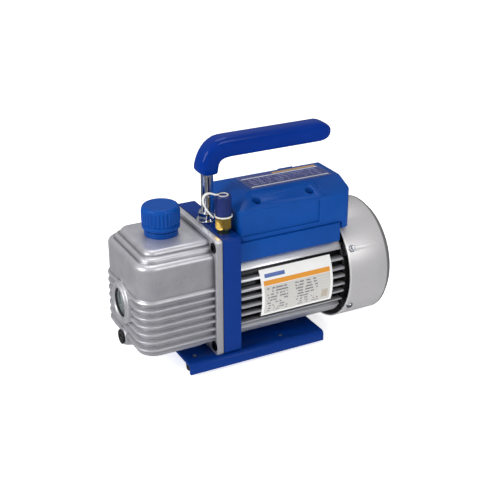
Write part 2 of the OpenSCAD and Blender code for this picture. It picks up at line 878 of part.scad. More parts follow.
module bearing_outer_rings() {
    color(STEEL)
    for (x = [front_bearing_x, rear_bearing_x]) bearing_ring(x, bearing_r, 14);
}

module bearing_inner_rings() {
    color(STEEL)
    for (x = [front_bearing_x, rear_bearing_x]) bearing_ring(x, 10.5, journal_r + 0.02);
}

module bearing_balls() {
    color(CHROME)
    for (x = [front_bearing_x, rear_bearing_x], i = [0:ball_count - 1])
        translate([x + bearing_w / 2, 0, shaft_z]) rotate([i * 360 / ball_count, 0, 0])
            translate([0, race_r, 0]) sphere(ball_r);
}

module cooling_fan() {
    color(BLACK)
    difference() {
        union() {
            rod_x(fan_x0, fan_x0 + 14, 12);
            rod_x(fan_x0, fan_x0 + 2, 50);
            for (i = [0:blade_count - 1])
                translate([0, 0, shaft_z]) rotate([i * 360 / blade_count, 0, 0])
                    box(fan_x0 + 1, fan_x0 + 20, 11, 50, -1, 1);
        }
        rod_x(fan_x0 - 1, fan_x0 + 15, 6 + fit);
    }
}

// Half section of the drum, turned round the shaft
module cover_section() {
    x1 = half_length;
    difference() {
        polygon([[0, x1], [cover_r - bevel, x1], [cover_r, x1 - bevel], [cover_r, cover_x0], [0, cover_x0]]);
        translate([-1, cover_x0 - 1])
            square([cover_r - cover_t + 1, cover_len - bevel + 1]);
        polygon([[-1, x1 - cover_t], [cover_r - bevel - 0.5, x1 - cover_t],
            [cover_r - cover_t, x1 - bevel - 0.5], [cover_r - cover_t, cover_x0], [-1, cover_x0]]);
    }
}

module grille_holes()
    for (ring = [[6, 12], [12, 20], [18, 28], [24, 36], [30, 44]])
        for (i = [0:ring[0] - 1]) rotate(i * 360 / ring[0]) translate([ring[1], 0]) circle(r = 2.6, $fn = 24);

module fan_cover() {
    color(SILVER)
    difference() {
        translate([0, 0, shaft_z]) rotate([90, 0, 90]) rotate_extrude() cover_section();
        along_x(half_length - cover_t - 1, half_length + 1) translate([0, shaft_z]) grille_holes();
        box(cover_x0 - 1, box_x1 + 0.5, -46, 46, tail_z - 0.6, shaft_z + cover_r + 5);
        for (a = lug_angles)
            translate([lug_x, 0, shaft_z]) rotate([a, 0, 0]) rotate([-90, 0, 0])
                cylinder(h = cover_r + 1, r = 1.7);
    }
}

module fan_cover_screws() {
    color(CHROME)
    for (a = lug_angles)
        translate([lug_x, 0, shaft_z]) rotate([a, 0, 0]) rotate([-90, 0, 0]) difference() {
            union() {
                translate([0, 0, cover_r - 8]) cylinder(h = 8.1, r = 1.5);
                translate([0, 0, cover_r]) cylinder(h = 1.8, r1 = 3.6, r2 = 2.9);
            }
            translate([-0.5, -2.2, cover_r + 0.9]) cube([1, 4.4, 2]);
            translate([-2.2, -0.5, cover_r + 0.9]) cube([4.4, 1, 2]);
        }
}

module nameplate() {
    color(WHITE)
    along_x(plate_x0, plate_x1) translate([0, shaft_z]) mirror([1, 0]) intersection() {
        difference() {
            circle(fin_r + 0.35);
            circle(fin_r);
        }
        wedge(plate_a0, plate_a1, fin_r * 1.2);
    }
}

// ---- Terminal box ----

module terminal_box_base() {
    color(BLUE)
    difference() {
        along_x(box_x0, box_base_x1) translate([0, (box_base_z + seam_z) / 2])
            square([box_base_w, seam_z - box_base_z], center = true);
        rod_x(box_x0 - 1, box_base_x1 + 1, core_r + fit);
        difference() {
            box(box_x0 + box_wall, box_base_x1 - box_wall, box_wall - box_base_w / 2,
                box_base_w / 2 - box_wall, box_base_z + 3, seam_z + 1);
            rod_x(box_x0 - 1, box_base_x1 + 1, core_r + 3);
            for (x = screw_x) both_sides() rod_z(box_base_z, seam_z, 5, x, screw_y);
        }
        for (x = screw_x) both_sides() rod_z(box_base_z + 4, seam_z + 1, 1.75, x, screw_y);
    }
}

// End view and side view of the cover, drawn t inside its surface
module box_end_view(t) {
    w = box_w / 2 - t;
    z0 = t > 0 ? tail_z - 5 : tail_z;
    polygon([[-w, z0], [-w, eave_z - t * 0.4], [-ridge_w / 2 + t * 0.2, box_top - t],
        [ridge_w / 2 - t * 0.2, box_top - t], [w, eave_z - t * 0.4], [w, z0]]);
}

module box_side_view(t) {
    z0 = t > 0 ? tail_z - 5 : tail_z;
    polygon([[box_x0 + t, z0], [box_x0 + t, eave_z - t * 0.4], [box_x0 + hip_len + t * 0.2, box_top - t],
        [box_x1 - t, box_top - t], [box_x1 - t, z0]]);
}

module box_body(t)
    intersection() {
        along_x(box_x0 - 1, box_x1 + 1) box_end_view(t);
        along_y(-box_w, box_w) box_side_view(t);
        translate([(box_x0 + box_x1) / 2, 0, 0])
            along_z(tail_z - 10, box_top + 1) rounded_rect(box_x1 - box_x0 - 2 * t, box_w - 2 * t, 8 - t);
    }

module box_ribs()
    both_sides() for (x = [panel_x1 + 1, panel_x1 + 5.4])
        intersection() {
            along_x(x, x + 2) translate([0, 0.9]) box_end_view(0);
            box(x - 1, x + 3, ridge_w / 2 + 3, box_w / 2 - 1.5, 140, box_top);
        }

module terminal_box_cover() {
    color(BLUE)
    difference() {
        union() {
            box_body(0);
            box_ribs();
        }
        difference() {
            box_body(box_wall);
            for (x = screw_x) both_sides() rod_z(seam_z, box_top, 6.4, x, screw_y);
        }
        box(box_x0 - 1, box_base_x1, -box_w, box_w, tail_z - 1, seam_z);
        box(box_base_x1 - 1, box_base_x1 + 2.7, -box_w, box_w, tail_z - 1, seam_z);
        both_sides() box(box_x0 + 4, panel_x1, box_w / 2 - 1.3, box_w / 2 + 1, seam_z + 5, eave_z - 2);
        for (x = screw_x) both_sides() {
            rod_z(screw_head_z, box_top + 1, 4.3, x, screw_y);
            rod_z(seam_z - 1, box_top, 1.8, x, screw_y);
        }
        panel_box(box_x1 - 10, box_x1 + 1, inlet_socket_y, 13.6, 10);
        panel_box(box_x1 - 10, box_x1 + 1, switch_y, 6.6, 10);
    }
}

module cover_screws() {
    color(STEEL)
    for (x = screw_x) both_sides() {
        rod_z(screw_head_z, screw_head_z + 2.4, 3.6, x, screw_y);
        rod_z(box_base_z + 5, screw_head_z + 0.1, 1.7, x, screw_y);
    }
}

module cover_label() {
    color("#2b3a78")
    box(label_x0, label_x1, -label_w / 2, label_w / 2, box_top, box_top + 0.25);
}

// A block in the rear panel, given by its middle and its half width and half height
module panel_box(x0, x1, y, half_w, half_h)
    box(x0, x1, y - half_w, y + half_w, rear_panel_z - half_h, rear_panel_z + half_h);

module run_capacitor() {
    color(WHITE)
    rod_x(box_x0 + 22, box_x0 + 72, 13.5, 0, seam_z + 8);
}

module power_inlet() {
    color(BLACK)
    difference() {
        union() {
            panel_box(box_x1, box_x1 + 2.2, inlet_socket_y, 15.5, 12);
            panel_box(box_x1 - 18, box_x1 + 0.1, inlet_socket_y, 13.5, 9.9);
        }
        panel_box(box_x1 - 14, box_x1 + 3, inlet_socket_y, 12.2, 8.2);
    }
    color(BRASS)
    for (p = [[-7, -2], [0, 2], [7, -2]])
        box(box_x1 - 14.1, box_x1 - 3, inlet_socket_y + p[0] - 1, inlet_socket_y + p[0] + 1,
            rear_panel_z + p[1] - 2, rear_panel_z + p[1] + 2);
}

module power_switch_body() {
    color(BLACK)
    difference() {
        union() {
            panel_box(box_x1, box_x1 + 2, switch_y, 7.8, 11);
            panel_box(box_x1 - 16, box_x1 + 0.1, switch_y, 6.5, 9.8);
        }
        panel_box(box_x1 - 9, box_x1 + 3, switch_y, 5, 8.6);
    }
}

module switch_rocker() {
    color("#b3261e")
    translate([rocker_x, 0, rear_panel_z]) rotate([0, rocker_tilt, 0])
        along_y(switch_y - 4.7, switch_y + 4.7) intersection() {
            circle(rocker_half);
            polygon([[-1.6, -5], [5.6, -10], [4.4, 0], [5.6, 10], [-1.6, 5]]);
        }
}

base_plate();
rubber_feet();
foot_screws();
base_bolts();
pump_bracket();
oil_reservoir();
reservoir_gasket();
reservoir_bolts();
sight_glass_bezel();
sight_glass_lens();
sight_glass_seal();
filler_neck();
oil_filler_cap();
filler_cap_seal();
exhaust_filter();
drain_plug();
drain_plug_seal();
pump_cylinder();
pump_end_cover();
pump_cover_screws();
pump_rotor();
vane_a();
vane_b();
vane_springs();
discharge_reed();
valve_stop();
valve_screws();
shaft_seal();
inlet_fitting();
inlet_screen();
inlet_cap();
inlet_cap_gasket();
inlet_cap_tether();
handle_post();
handle_grip();
handle_lock_nut();
handle_washer();
motor_housing();
motor_end_bell();
stator_core();
stator_windings();
rotor_core();
motor_shaft();
drive_key();
bearing_outer_rings();
bearing_inner_rings();
bearing_balls();
cooling_fan();
fan_cover();
fan_cover_screws();
tie_bolts();
nameplate();
terminal_box_base();
terminal_box_cover();
cover_screws();
cover_label();
run_capacitor();
power_switch_body();
switch_rocker();
power_inlet();
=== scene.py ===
"""Portable rotary vane vacuum pump: the finished look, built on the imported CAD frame.

Lengths in this file are in metres unless a name or a comment says millimetres.
"""

import json
import math

import bmesh
import bpy
from bpy.props import FloatProperty
from bpy.props import FloatVectorProperty
from bpy.props import IntProperty
from bpy.props import PointerProperty
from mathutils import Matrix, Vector

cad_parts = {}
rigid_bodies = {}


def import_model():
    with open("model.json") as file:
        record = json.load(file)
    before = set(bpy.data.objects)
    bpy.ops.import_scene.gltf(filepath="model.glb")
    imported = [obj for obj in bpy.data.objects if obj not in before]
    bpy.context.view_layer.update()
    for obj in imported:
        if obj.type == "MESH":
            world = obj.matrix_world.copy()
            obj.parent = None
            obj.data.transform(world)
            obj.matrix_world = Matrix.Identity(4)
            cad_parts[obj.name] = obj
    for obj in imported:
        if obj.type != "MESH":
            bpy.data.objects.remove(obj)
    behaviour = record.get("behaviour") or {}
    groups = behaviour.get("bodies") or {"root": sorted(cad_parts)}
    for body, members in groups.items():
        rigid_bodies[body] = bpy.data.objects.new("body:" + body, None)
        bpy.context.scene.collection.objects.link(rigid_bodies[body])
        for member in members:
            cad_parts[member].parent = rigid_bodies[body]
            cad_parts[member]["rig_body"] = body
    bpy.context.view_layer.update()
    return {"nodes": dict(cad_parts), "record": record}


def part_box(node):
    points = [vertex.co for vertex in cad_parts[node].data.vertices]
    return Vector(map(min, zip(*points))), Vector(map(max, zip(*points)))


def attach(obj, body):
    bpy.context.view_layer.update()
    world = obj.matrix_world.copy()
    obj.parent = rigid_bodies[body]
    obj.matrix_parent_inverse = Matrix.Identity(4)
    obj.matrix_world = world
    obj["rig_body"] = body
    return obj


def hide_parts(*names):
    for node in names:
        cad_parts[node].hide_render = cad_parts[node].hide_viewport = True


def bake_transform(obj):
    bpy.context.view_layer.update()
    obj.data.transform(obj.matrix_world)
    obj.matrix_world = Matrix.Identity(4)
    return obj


bl_info = {
    "name": "Vacuum pump finisher",
    "version": (1, 0, 0),
    "blender": (4, 5, 0),
    "location": "View3D > Sidebar > Pump",
    "description": "Builds the visible pieces and finishes of a portable rotary vane vacuum pump",
    "category": "Object",
}

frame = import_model()
NODES = frame["nodes"]
MM = 0.001
SHAFT_Z = (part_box("motor_housing")[0].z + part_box("motor_housing")[1].z) / 2


# ---- Colours and nodes ----


def linear(code, alpha=None):
    """An sRGB hex colour such as "1c4a9c" as linear red, green and blue, with alpha if given."""
    levels = [int(code[i : i + 2], 16) / 255 for i in (0, 2, 4)]
    values = [v / 12.92 if v <= 0.04045 else ((v + 0.055) / 1.055) ** 2.4 for v in levels]
    return tuple(values) if alpha is None else (*values, alpha)


def add(tree, kind, settings=(), links=()):
    """Adds a node. settings maps an attribute or an input to a value, links an input to an output."""
    node = tree.nodes.new(kind)
    for name, value in dict(settings).items():
        if isinstance(name, str) and name in node.bl_rna.properties:
            setattr(node, name, value)
        else:
            node.inputs[name].default_value = value
    for name, output in dict(links).items():
        tree.links.new(output, node.inputs[name])
    return node


def per_mm(size):
    """The texture scale that gives a pattern of that size in millimetres."""
    return 1 / (size * MM)


def surface(name, looks):
    """A new material with one shader; gives the material, its tree, the shader and the position."""
    material = bpy.data.materials.new(name)
    material.use_nodes = True
    tree = material.node_tree
    tree.nodes.clear()
    shader = add(tree, "ShaderNodeBsdfPrincipled", looks)
    add(tree, "ShaderNodeOutputMaterial", links={"Surface": shader.outputs["BSDF"]})
    where = add(tree, "ShaderNodeTexCoord").outputs["Object"]
    return material, tree, shader, where


def wired(tree, shader, colour, rough):
    """Drives the shader's colour and roughness by two outputs."""
    tree.links.new(colour, shader.inputs["Base Color"])
    tree.links.new(rough, shader.inputs["Roughness"])


def relief(tree, shader, height, depth_mm):
    """Raises the surface by height, on top of any relief that the shader already has."""
    before = shader.inputs["Normal"].links
    links = {"Height": height}
    if before:
        links["Normal"] = before[0].from_socket
    bump = add(tree, "ShaderNodeBump", {"Distance": depth_mm * MM, "Strength": 1.0}, links)
    tree.links.new(bump.outputs["Normal"], shader.inputs["Normal"])


def blended(tree, factor, low, high):
    """A colour from low to high by factor. Either end is a colour or an output socket."""
    settings = {"data_type": "RGBA"}
    links = {0: factor}
    for place, value in ((6, low), (7, high)):
        if isinstance(value, bpy.types.NodeSocket):
            links[place] = value
        else:
            settings[place] = (*value[:3], 1)
    return add(tree, "ShaderNodeMix", settings, links).outputs[2]


def spread(tree, factor, low, high, start=0.0, end=1.0):
    """A number that goes from low to high while factor goes from start to end."""
    settings = {"From Min": start, "From Max": end, "To Min": low, "To Max": high}
    return add(tree, "ShaderNodeMapRange", settings, {"Value": factor}).outputs["Result"]


def band(tree, value, low, high):
    """One where low < value < high, nought elsewhere."""
    over = add(tree, "ShaderNodeMath", {"operation": "GREATER_THAN", 1: low}, {0: value})
    under = add(tree, "ShaderNodeMath", {"operation": "LESS_THAN", 1: high}, {0: value})
    both = {0: over.outputs[0], 1: under.outputs[0]}
    return add(tree, "ShaderNodeMath", {"operation": "MULTIPLY"}, both).outputs[0]


def overlap(tree, first, second):
    """One where both masks are one."""
    return add(tree, "ShaderNodeMath", {"operation": "MULTIPLY"}, {0: first, 1: second}).outputs[0]


def printed(tree, colour, ink, *areas):
    """The colour with ink over it, where low < value < high for each (value, low, high)."""
    mask = band(tree, *areas[0])
    for area in areas[1:]:
        mask = overlap(tree, mask, band(tree, *area))
    return blended(tree, mask, colour, ink)


def stretched(tree, where, scale):
    """The position scaled by a factor along each axis, for grain that runs one way."""
    return add(tree, "ShaderNodeMapping", {"Scale": scale}, {"Vector": where}).outputs["Vector"]


def clouds(tree, where, size_mm, detail=2.0, roughness=0.5):
    """Soft irregular patches of about that size in millimetres, from nought to one."""
    settings = {"Scale": per_mm(size_mm), "Detail": detail, "Roughness": roughness}
    return add(tree, "ShaderNodeTexNoise", settings, {"Vector": where}).outputs["Fac"]


# ---- Finishes ----


def lacquered_casting():
    # Die-cast aluminium under silver lacquer: a soft, slightly grainy metallic sheen
    looks = {"Metallic": 0.68, "Roughness": 0.4, "Coat Weight": 0.2, "Coat Roughness": 0.25}
    material, tree, shader, where = surface("lacquered_die_cast_aluminium", looks)
    flakes = clouds(tree, where, 0.9, 3)
    patches = clouds(tree, where, 14, 3)
    grey = blended(tree, spread(tree, patches, 0, 1, 0.3, 0.7), linear("bdbcc3"), linear("cccbd0"))
    colour = blended(tree, spread(tree, flakes, 0, 0.35, 0.35, 0.75), grey, linear("e6e5ea"))
    # Painted shade darkens the valleys between the fins and a painted highlight brightens the crests
    bend = add(tree, "ShaderNodeNewGeometry").outputs["Pointiness"]
    colour = blended(tree, spread(tree, bend, 0.75, 0, 0.455, 0.495), colour, linear("68666e"))
    colour = blended(tree, spread(tree, bend, 0, 0.45, 0.515, 0.55), colour, linear("f4f3f6"))
    wired(tree, shader, colour, spread(tree, flakes, 0.36, 0.5))
    # Sand-cast texture is under 0.3 mm; it is drawn at 0.7 mm so that it shows
    relief(tree, shader, clouds(tree, where, 0.7, 2), 0.035)
    relief(tree, shader, clouds(tree, where, 3.2, 1), 0.06)
    return material


def extruded_aluminium():
    # Extruded aluminium, bright etched: near white, with faint die lines along the fins
    looks = {"Metallic": 0.65, "Roughness": 0.33}
    material, tree, shader, where = surface("extruded_aluminium", looks)
    lines = clouds(tree, stretched(tree, where, (0.03, 1, 1)), 0.8, 3)
    colour = blended(tree, spread(tree, lines, 0, 1, 0.3, 0.7), linear("cfcfd3"), linear("e6e6e9"))
    # Painted shade darkens the gaps between the fins, towards their roots
    shift = {"operation": "SUBTRACT", 1: (0, 0, SHAFT_Z)}
    from_shaft = add(tree, "ShaderNodeVectorMath", shift, {0: where})
    across = stretched(tree, from_shaft.outputs[0], (0, 1, 1))
    radius = add(tree, "ShaderNodeVectorMath", {"operation": "LENGTH"}, {0: across}).outputs["Value"]
    colour = blended(tree, spread(tree, radius, 1, 0, 47 * MM, 52.5 * MM), colour, linear("232327"))
    wired(tree, shader, colour, spread(tree, lines, 0.26, 0.42))
    relief(tree, shader, lines, 0.02)
    return material


def satin_steel():
    # Pressed steel sheet with a satin metallic lacquer: warm silver, a wide soft highlight
    looks = {"Metallic": 0.5, "Roughness": 0.42, "Coat Weight": 0.15, "Coat Roughness": 0.2}
    material, tree, shader, where = surface("satin_pressed_steel", looks)
    grain = clouds(tree, stretched(tree, where, (1, 0.25, 0.25)), 0.8, 3)
    patches = clouds(tree, where, 30, 2)
    warm = blended(tree, patches, linear("d2cfd0"), linear("dddbdc"))
    colour = blended(tree, spread(tree, grain, 0, 0.4, 0.4, 0.8), warm, linear("eae8e9"))
    # The rims: a brighter band along the front edge, and painted shade on the band where the sheet turns
    # in behind
    low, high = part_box("fan_cover")
    place = add(tree, "ShaderNodeSeparateXYZ", links={"Vector": where}).outputs["X"]
    front = spread(tree, place, 0.8, 0, low.x + 1.2 * MM, low.x + 1.8 * MM)
    colour = blended(tree, front, colour, linear("f6f5f4"))
    # Painted shade on the rear band of the cover
    behind = spread(tree, place, 0, 0.85, high.x - 6.6 * MM, high.x - 6.0 * MM)
    painted_shade_band = overlap(tree, behind, band(tree, place, low.x, high.x - 0.3 * MM))
    colour = blended(tree, painted_shade_band, colour, linear("6e6c70"))
    wired(tree, shader, colour, spread(tree, grain, 0.36, 0.5))
    relief(tree, shader, clouds(tree, where, 0.8, 2), 0.02)
    return material


def blue_enamel():
    # Powder-coated steel: deep blue, semi-gloss, with the gentle orange peel of a baked coat
    look = bpy.context.scene.pump_finish
    looks = {"Roughness": 0.32, "IOR": 1.5, "Specular IOR Level": 0.14}
    material, tree, shader, where = surface("baked_blue_enamel", looks)
    patches = clouds(tree, where, 22, 3)
    deep = tuple(0.86 * v for v in look.enamel)
    colour = blended(tree, patches, deep, tuple(look.enamel))
    wired(tree, shader, colour, spread(tree, patches, 0.26, 0.36))
    relief(tree, shader, clouds(tree, where, 2.0, 1), 0.03)
    return material


def moulded_abs():
    # Moulded ABS with a fine spark-eroded texture: royal blue, satin highlights
    look = bpy.context.scene.pump_finish
    looks = {"Roughness": 0.34, "IOR": 1.54, "Specular IOR Level": 0.14}
    material, tree, shader, where = surface("moulded_blue_abs", looks)
    grain = clouds(tree, where, 0.6, 2)
    flow = clouds(tree, where, 25, 2)
    deep = tuple(0.9 * v for v in look.moulded)
    colour = blended(tree, spread(tree, flow, 0, 1, 0.3, 0.7), deep, tuple(look.moulded))
    wired(tree, shader, colour, spread(tree, grain, 0.27, 0.4))
    # The spark-eroded pits are about 0.1 mm; they are drawn at 0.6 mm so that they show
    relief(tree, shader, grain, 0.02)
    return material


def grip_nylon():
    # Polished moulded nylon: dark glossy blue that mirrors the lights in long streaks
    look = bpy.context.scene.pump_finish
    looks = {"Roughness": 0.2, "IOR": 1.53, "Specular IOR Level": 0.14}
    material, tree, shader, where = surface("polished_blue_nylon", looks)
    flow = clouds(tree, stretched(tree, where, (0.3, 1, 1)), 16, 3)
    deep = tuple(0.82 * v for v in look.grip)
    colour = blended(tree, spread(tree, flow, 0, 1, 0.3, 0.7), deep, tuple(look.grip))
    wired(tree, shader, colour, spread(tree, flow, 0.13, 0.22))
    relief(tree, shader, clouds(tree, where, 4.0, 1), 0.03)
    return material


def filler_plastic():
    # Moulded polypropylene: bright blue with a low satin sheen
    look = bpy.context.scene.pump_finish
    looks = {"Roughness": 0.36, "IOR": 1.49, "Specular IOR Level": 0.16}
    material, tree, shader, where = surface("moulded_blue_polypropylene", looks)
    flow = clouds(tree, where, 9, 3)
    deep = tuple(0.86 * v for v in look.filler)
    colour = blended(tree, flow, deep, tuple(look.filler))
    wired(tree, shader, colour, spread(tree, flow, 0.3, 0.44))
    relief(tree, shader, clouds(tree, where, 0.6, 2), 0.02)
    return material


def metal(name, low, high, rough, size_mm=1.2, along=(1, 1, 1), depth=0.012):
    """Bare or plated metal: two close tones, a roughness range and fine tool marks."""
    material, tree, shader, where = surface(name, {"Metallic": 1.0, "Roughness": rough[0]})
    marks = clouds(tree, stretched(tree, where, along), size_mm, 3)
    colour = blended(tree, spread(tree, marks, 0, 1, 0.3, 0.7), linear(low), linear(high))
    wired(tree, shader, colour, spread(tree, marks, *rough))
    relief(tree, shader, marks, depth)
    return material


def moulding(name, low, high, rough, ior=1.5, size_mm=0.8, depth=0.02):
    """A moulded plastic or rubber: two close tones, a roughness range and a fine texture."""
    material, tree, shader, where = surface(name, {"IOR": ior, "Roughness": rough[0]})
    texture = clouds(tree, where, size_mm, 3)
    patches = clouds(tree, where, 12 * size_mm, 2)
    rough = spread(tree, texture, *rough)
    wired(tree, shader, blended(tree, patches, linear(low), linear(high)), rough)
    relief(tree, shader, texture, depth)
    return material


def electrical_steel():
    # Stacked electrical steel sheets: dark grey, with the edge of each sheet across the shaft
    looks = {"Metallic": 1.0, "Roughness": 0.45}
    material, tree, shader, where = surface("stacked_electrical_steel", looks)
    # Real sheets are 0.5 mm thick; they are drawn 1 mm thick so that they show
    sheets = {"wave_type": "BANDS", "bands_direction": "X", "Scale": per_mm(1.0) / 20}
    edges = add(tree, "ShaderNodeTexWave", sheets, {"Vector": where}).outputs["Fac"]
    rough = spread(tree, edges, 0.35, 0.55)
    wired(tree, shader, blended(tree, edges, linear("3b3d42"), linear("6f7278")), rough)
    relief(tree, shader, edges, 0.05)
    return material


def enamelled_copper():
    # Varnished winding wire: amber brown, strand beside strand
    looks = {"Metallic": 0.9, "Roughness": 0.35, "Coat Weight": 0.5, "Coat Roughness": 0.2}
    material, tree, shader, where = surface("varnished_copper_wire", looks)
    strands = {"wave_type": "BANDS", "bands_direction": "DIAGONAL", "Scale": per_mm(1.1) / 20}
    settings = {**strands, "Distortion": 3.0, "Detail": 2.0}
    wire = add(tree, "ShaderNodeTexWave", settings, {"Vector": where}).outputs["Fac"]
    rough = spread(tree, wire, 0.3, 0.45)
    wired(tree, shader, blended(tree, wire, linear("6e3318"), linear("c8743c")), rough)
    relief(tree, shader, wire, 0.2)
    return material


def sight_glass():
    # Borosilicate sight glass: clear, with the faintest waviness
    looks = {"Roughness": 0.03, "IOR": 1.47, "Alpha": 0.22}
    material, tree, shader, where = surface("borosilicate_glass", looks)
    waves = clouds(tree, where, 6, 1)
    tree.links.new(blended(tree, waves, linear("b4c2c6"), linear("d2dcde")), shader.inputs["Base Color"])
    relief(tree, shader, waves, 0.01)
    return material


def oil_view():
    # Pale reflector behind the sight glass, with the dark oil line lying across its lower part
    looks = {"Roughness": 0.3, "Coat Weight": 0.3, "Coat Roughness": 0.1}
    material, tree, shader, where = surface("oil_behind_glass", looks)
    split = add(tree, "ShaderNodeSeparateXYZ", links={"Vector": where})
    low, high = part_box("sight_glass_lens")
    middle = (low.z + high.z) / 2
    ripple = clouds(tree, where, 9, 2)
    level = add(tree, "ShaderNodeMath", {"operation": "MULTIPLY_ADD", 1: 1.5 * MM}, {0: ripple})
    tree.links.new(split.outputs["Z"], level.inputs[2])
    oil = spread(tree, level.outputs[0], 1, 0, middle - 4 * MM, middle - 2.5 * MM)
    pale = blended(tree, ripple, linear("8f9a9e"), linear("b8c2c4"))
    tree.links.new(blended(tree, oil, pale, linear("4f4a3c")), shader.inputs["Base Color"])
    return material


def printed_nameplate():
    # Printed polyester film: white with an orange bar, a pale table and generic line marks
    looks = {"Roughness": 0.3, "IOR": 1.57, "Coat Weight": 0.3, "Coat Roughness": 0.12}
    material, tree, shader, where = surface("printed_polyester_film", looks)
    split = add(tree, "ShaderNodeSeparateXYZ", links={"Vector": where})
    low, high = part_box("nameplate")
    along = spread(tree, split.outputs["X"], 0, 1, low.x, high.x)
    rise = add(tree, "ShaderNodeMath", {"operation": "SUBTRACT", 1: SHAFT_Z}, {0: split.outputs["Z"]})
    out = add(tree, "ShaderNodeMath", {"operation": "MULTIPLY", 1: -1.0}, {0: split.outputs["Y"]})
    turn = {0: rise.outputs[0], 1: out.outputs[0]}
    angle = add(tree, "ShaderNodeMath", {"operation": "ARCTAN2"}, turn).outputs[0]
    up = spread(tree, angle, 0, 1, math.radians(-19.5), math.radians(31.5))
    colour = blended(tree, clouds(tree, where, 20, 2), linear("eeeeea"), linear("f7f7f5"))
    across = (along, 0.035, 0.965)
    colour = printed(tree, colour, linear("e79a2e"), across, (up, 0.665, 0.765))
    colour = printed(tree, colour, linear("cfcdc8"), across, (up, 0.05, 0.655))
    # Generic table: thin rules, and short grey bars that stand for words
    rows = add(tree, "ShaderNodeMath", {"operation": "MULTIPLY", 1: 16.0}, {0: up}).outputs[0]
    row = add(tree, "ShaderNodeMath", {"operation": "FRACT"}, {0: rows}).outputs[0]
    word = clouds(tree, stretched(tree, where, (1, 0.2, 0.45)), 3.4, 1)
    inked = ((row, 0.28, 0.72), (word, 0.5, 2), (up, 0.09, 0.64))
    for column in ((along, 0.07, 0.36), (along, 0.46, 0.80)):
        colour = printed(tree, colour, linear("77767a"), column, *inked)
    colour = printed(tree, colour, linear("a9a9a6"), across, (row, 0.95, 1.1), (up, 0.06, 0.66))
    colour = printed(tree, colour, linear("b9b0a0"), (along, 0.84, 0.93), (up, 0.12, 0.3))
    colour = printed(tree, colour, linear("3f62a8"), (along, 0.06, 0.34), (up, 0.82, 0.90))
    wired(tree, shader, colour, spread(tree, clouds(tree, where, 1.2, 2), 0.24, 0.38))
    return material


def printed_top_label():
    # Printed film on the terminal box: violet navy band with white and gold lines
    looks = {"Roughness": 0.28, "IOR": 1.57, "Coat Weight": 0.4, "Coat Roughness": 0.1}
    material, tree, shader, where = surface("printed_label_film", looks)
    split = add(tree, "ShaderNodeSeparateXYZ", links={"Vector": where})
    low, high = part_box("cover_label")
    along = spread(tree, split.outputs["X"], 0, 1, low.x, high.x)
    over = spread(tree, split.outputs["Y"], 0, 1, low.y, high.y)
    field = blended(tree, clouds(tree, where, 12, 2), linear("25307a"), linear("333f92"))
    colour = printed(tree, linear("1c4a9c"), field, (along, 0.02, 0.98), (over, 0.04, 0.96))
    lines = clouds(tree, stretched(tree, where, (1, 0.15, 1)), 3.0, 1)
    for place in (0.26, 0.38, 0.50, 0.62):
        row = (over, place, place + 0.045)
        colour = printed(tree, colour, linear("8f97c8"), (lines, 0.48, 2), (along, 0.08, 0.92), row)
    colour = printed(tree, colour, linear("eef0f6"), (along, 0.03, 0.97), (over, 0.10, 0.16))
    colour = printed(tree, colour, linear("e4e7f2"), (along, 0.03, 0.97), (over, 0.74, 0.80))
    colour = printed(tree, colour, linear("c79a52"), (along, 0.43, 0.97), (over, 0.82, 0.93))
    wired(tree, shader, colour, spread(tree, clouds(tree, where, 1.2, 2), 0.22, 0.34))
    return material


def studio_floor():
    # Seamless white studio paper: matt, with a trace of fibre
    looks = {"Roughness": 0.9, "Emission Color": (1, 1, 1, 1), "Emission Strength": 0.7}
    material, tree, shader, where = surface("white_studio_paper", looks)
    fibre = clouds(tree, where, 6, 2)
    tree.links.new(blended(tree, fibre, linear("f2f2f2"), linear("f7f7f7")), shader.inputs["Base Color"])
    return material


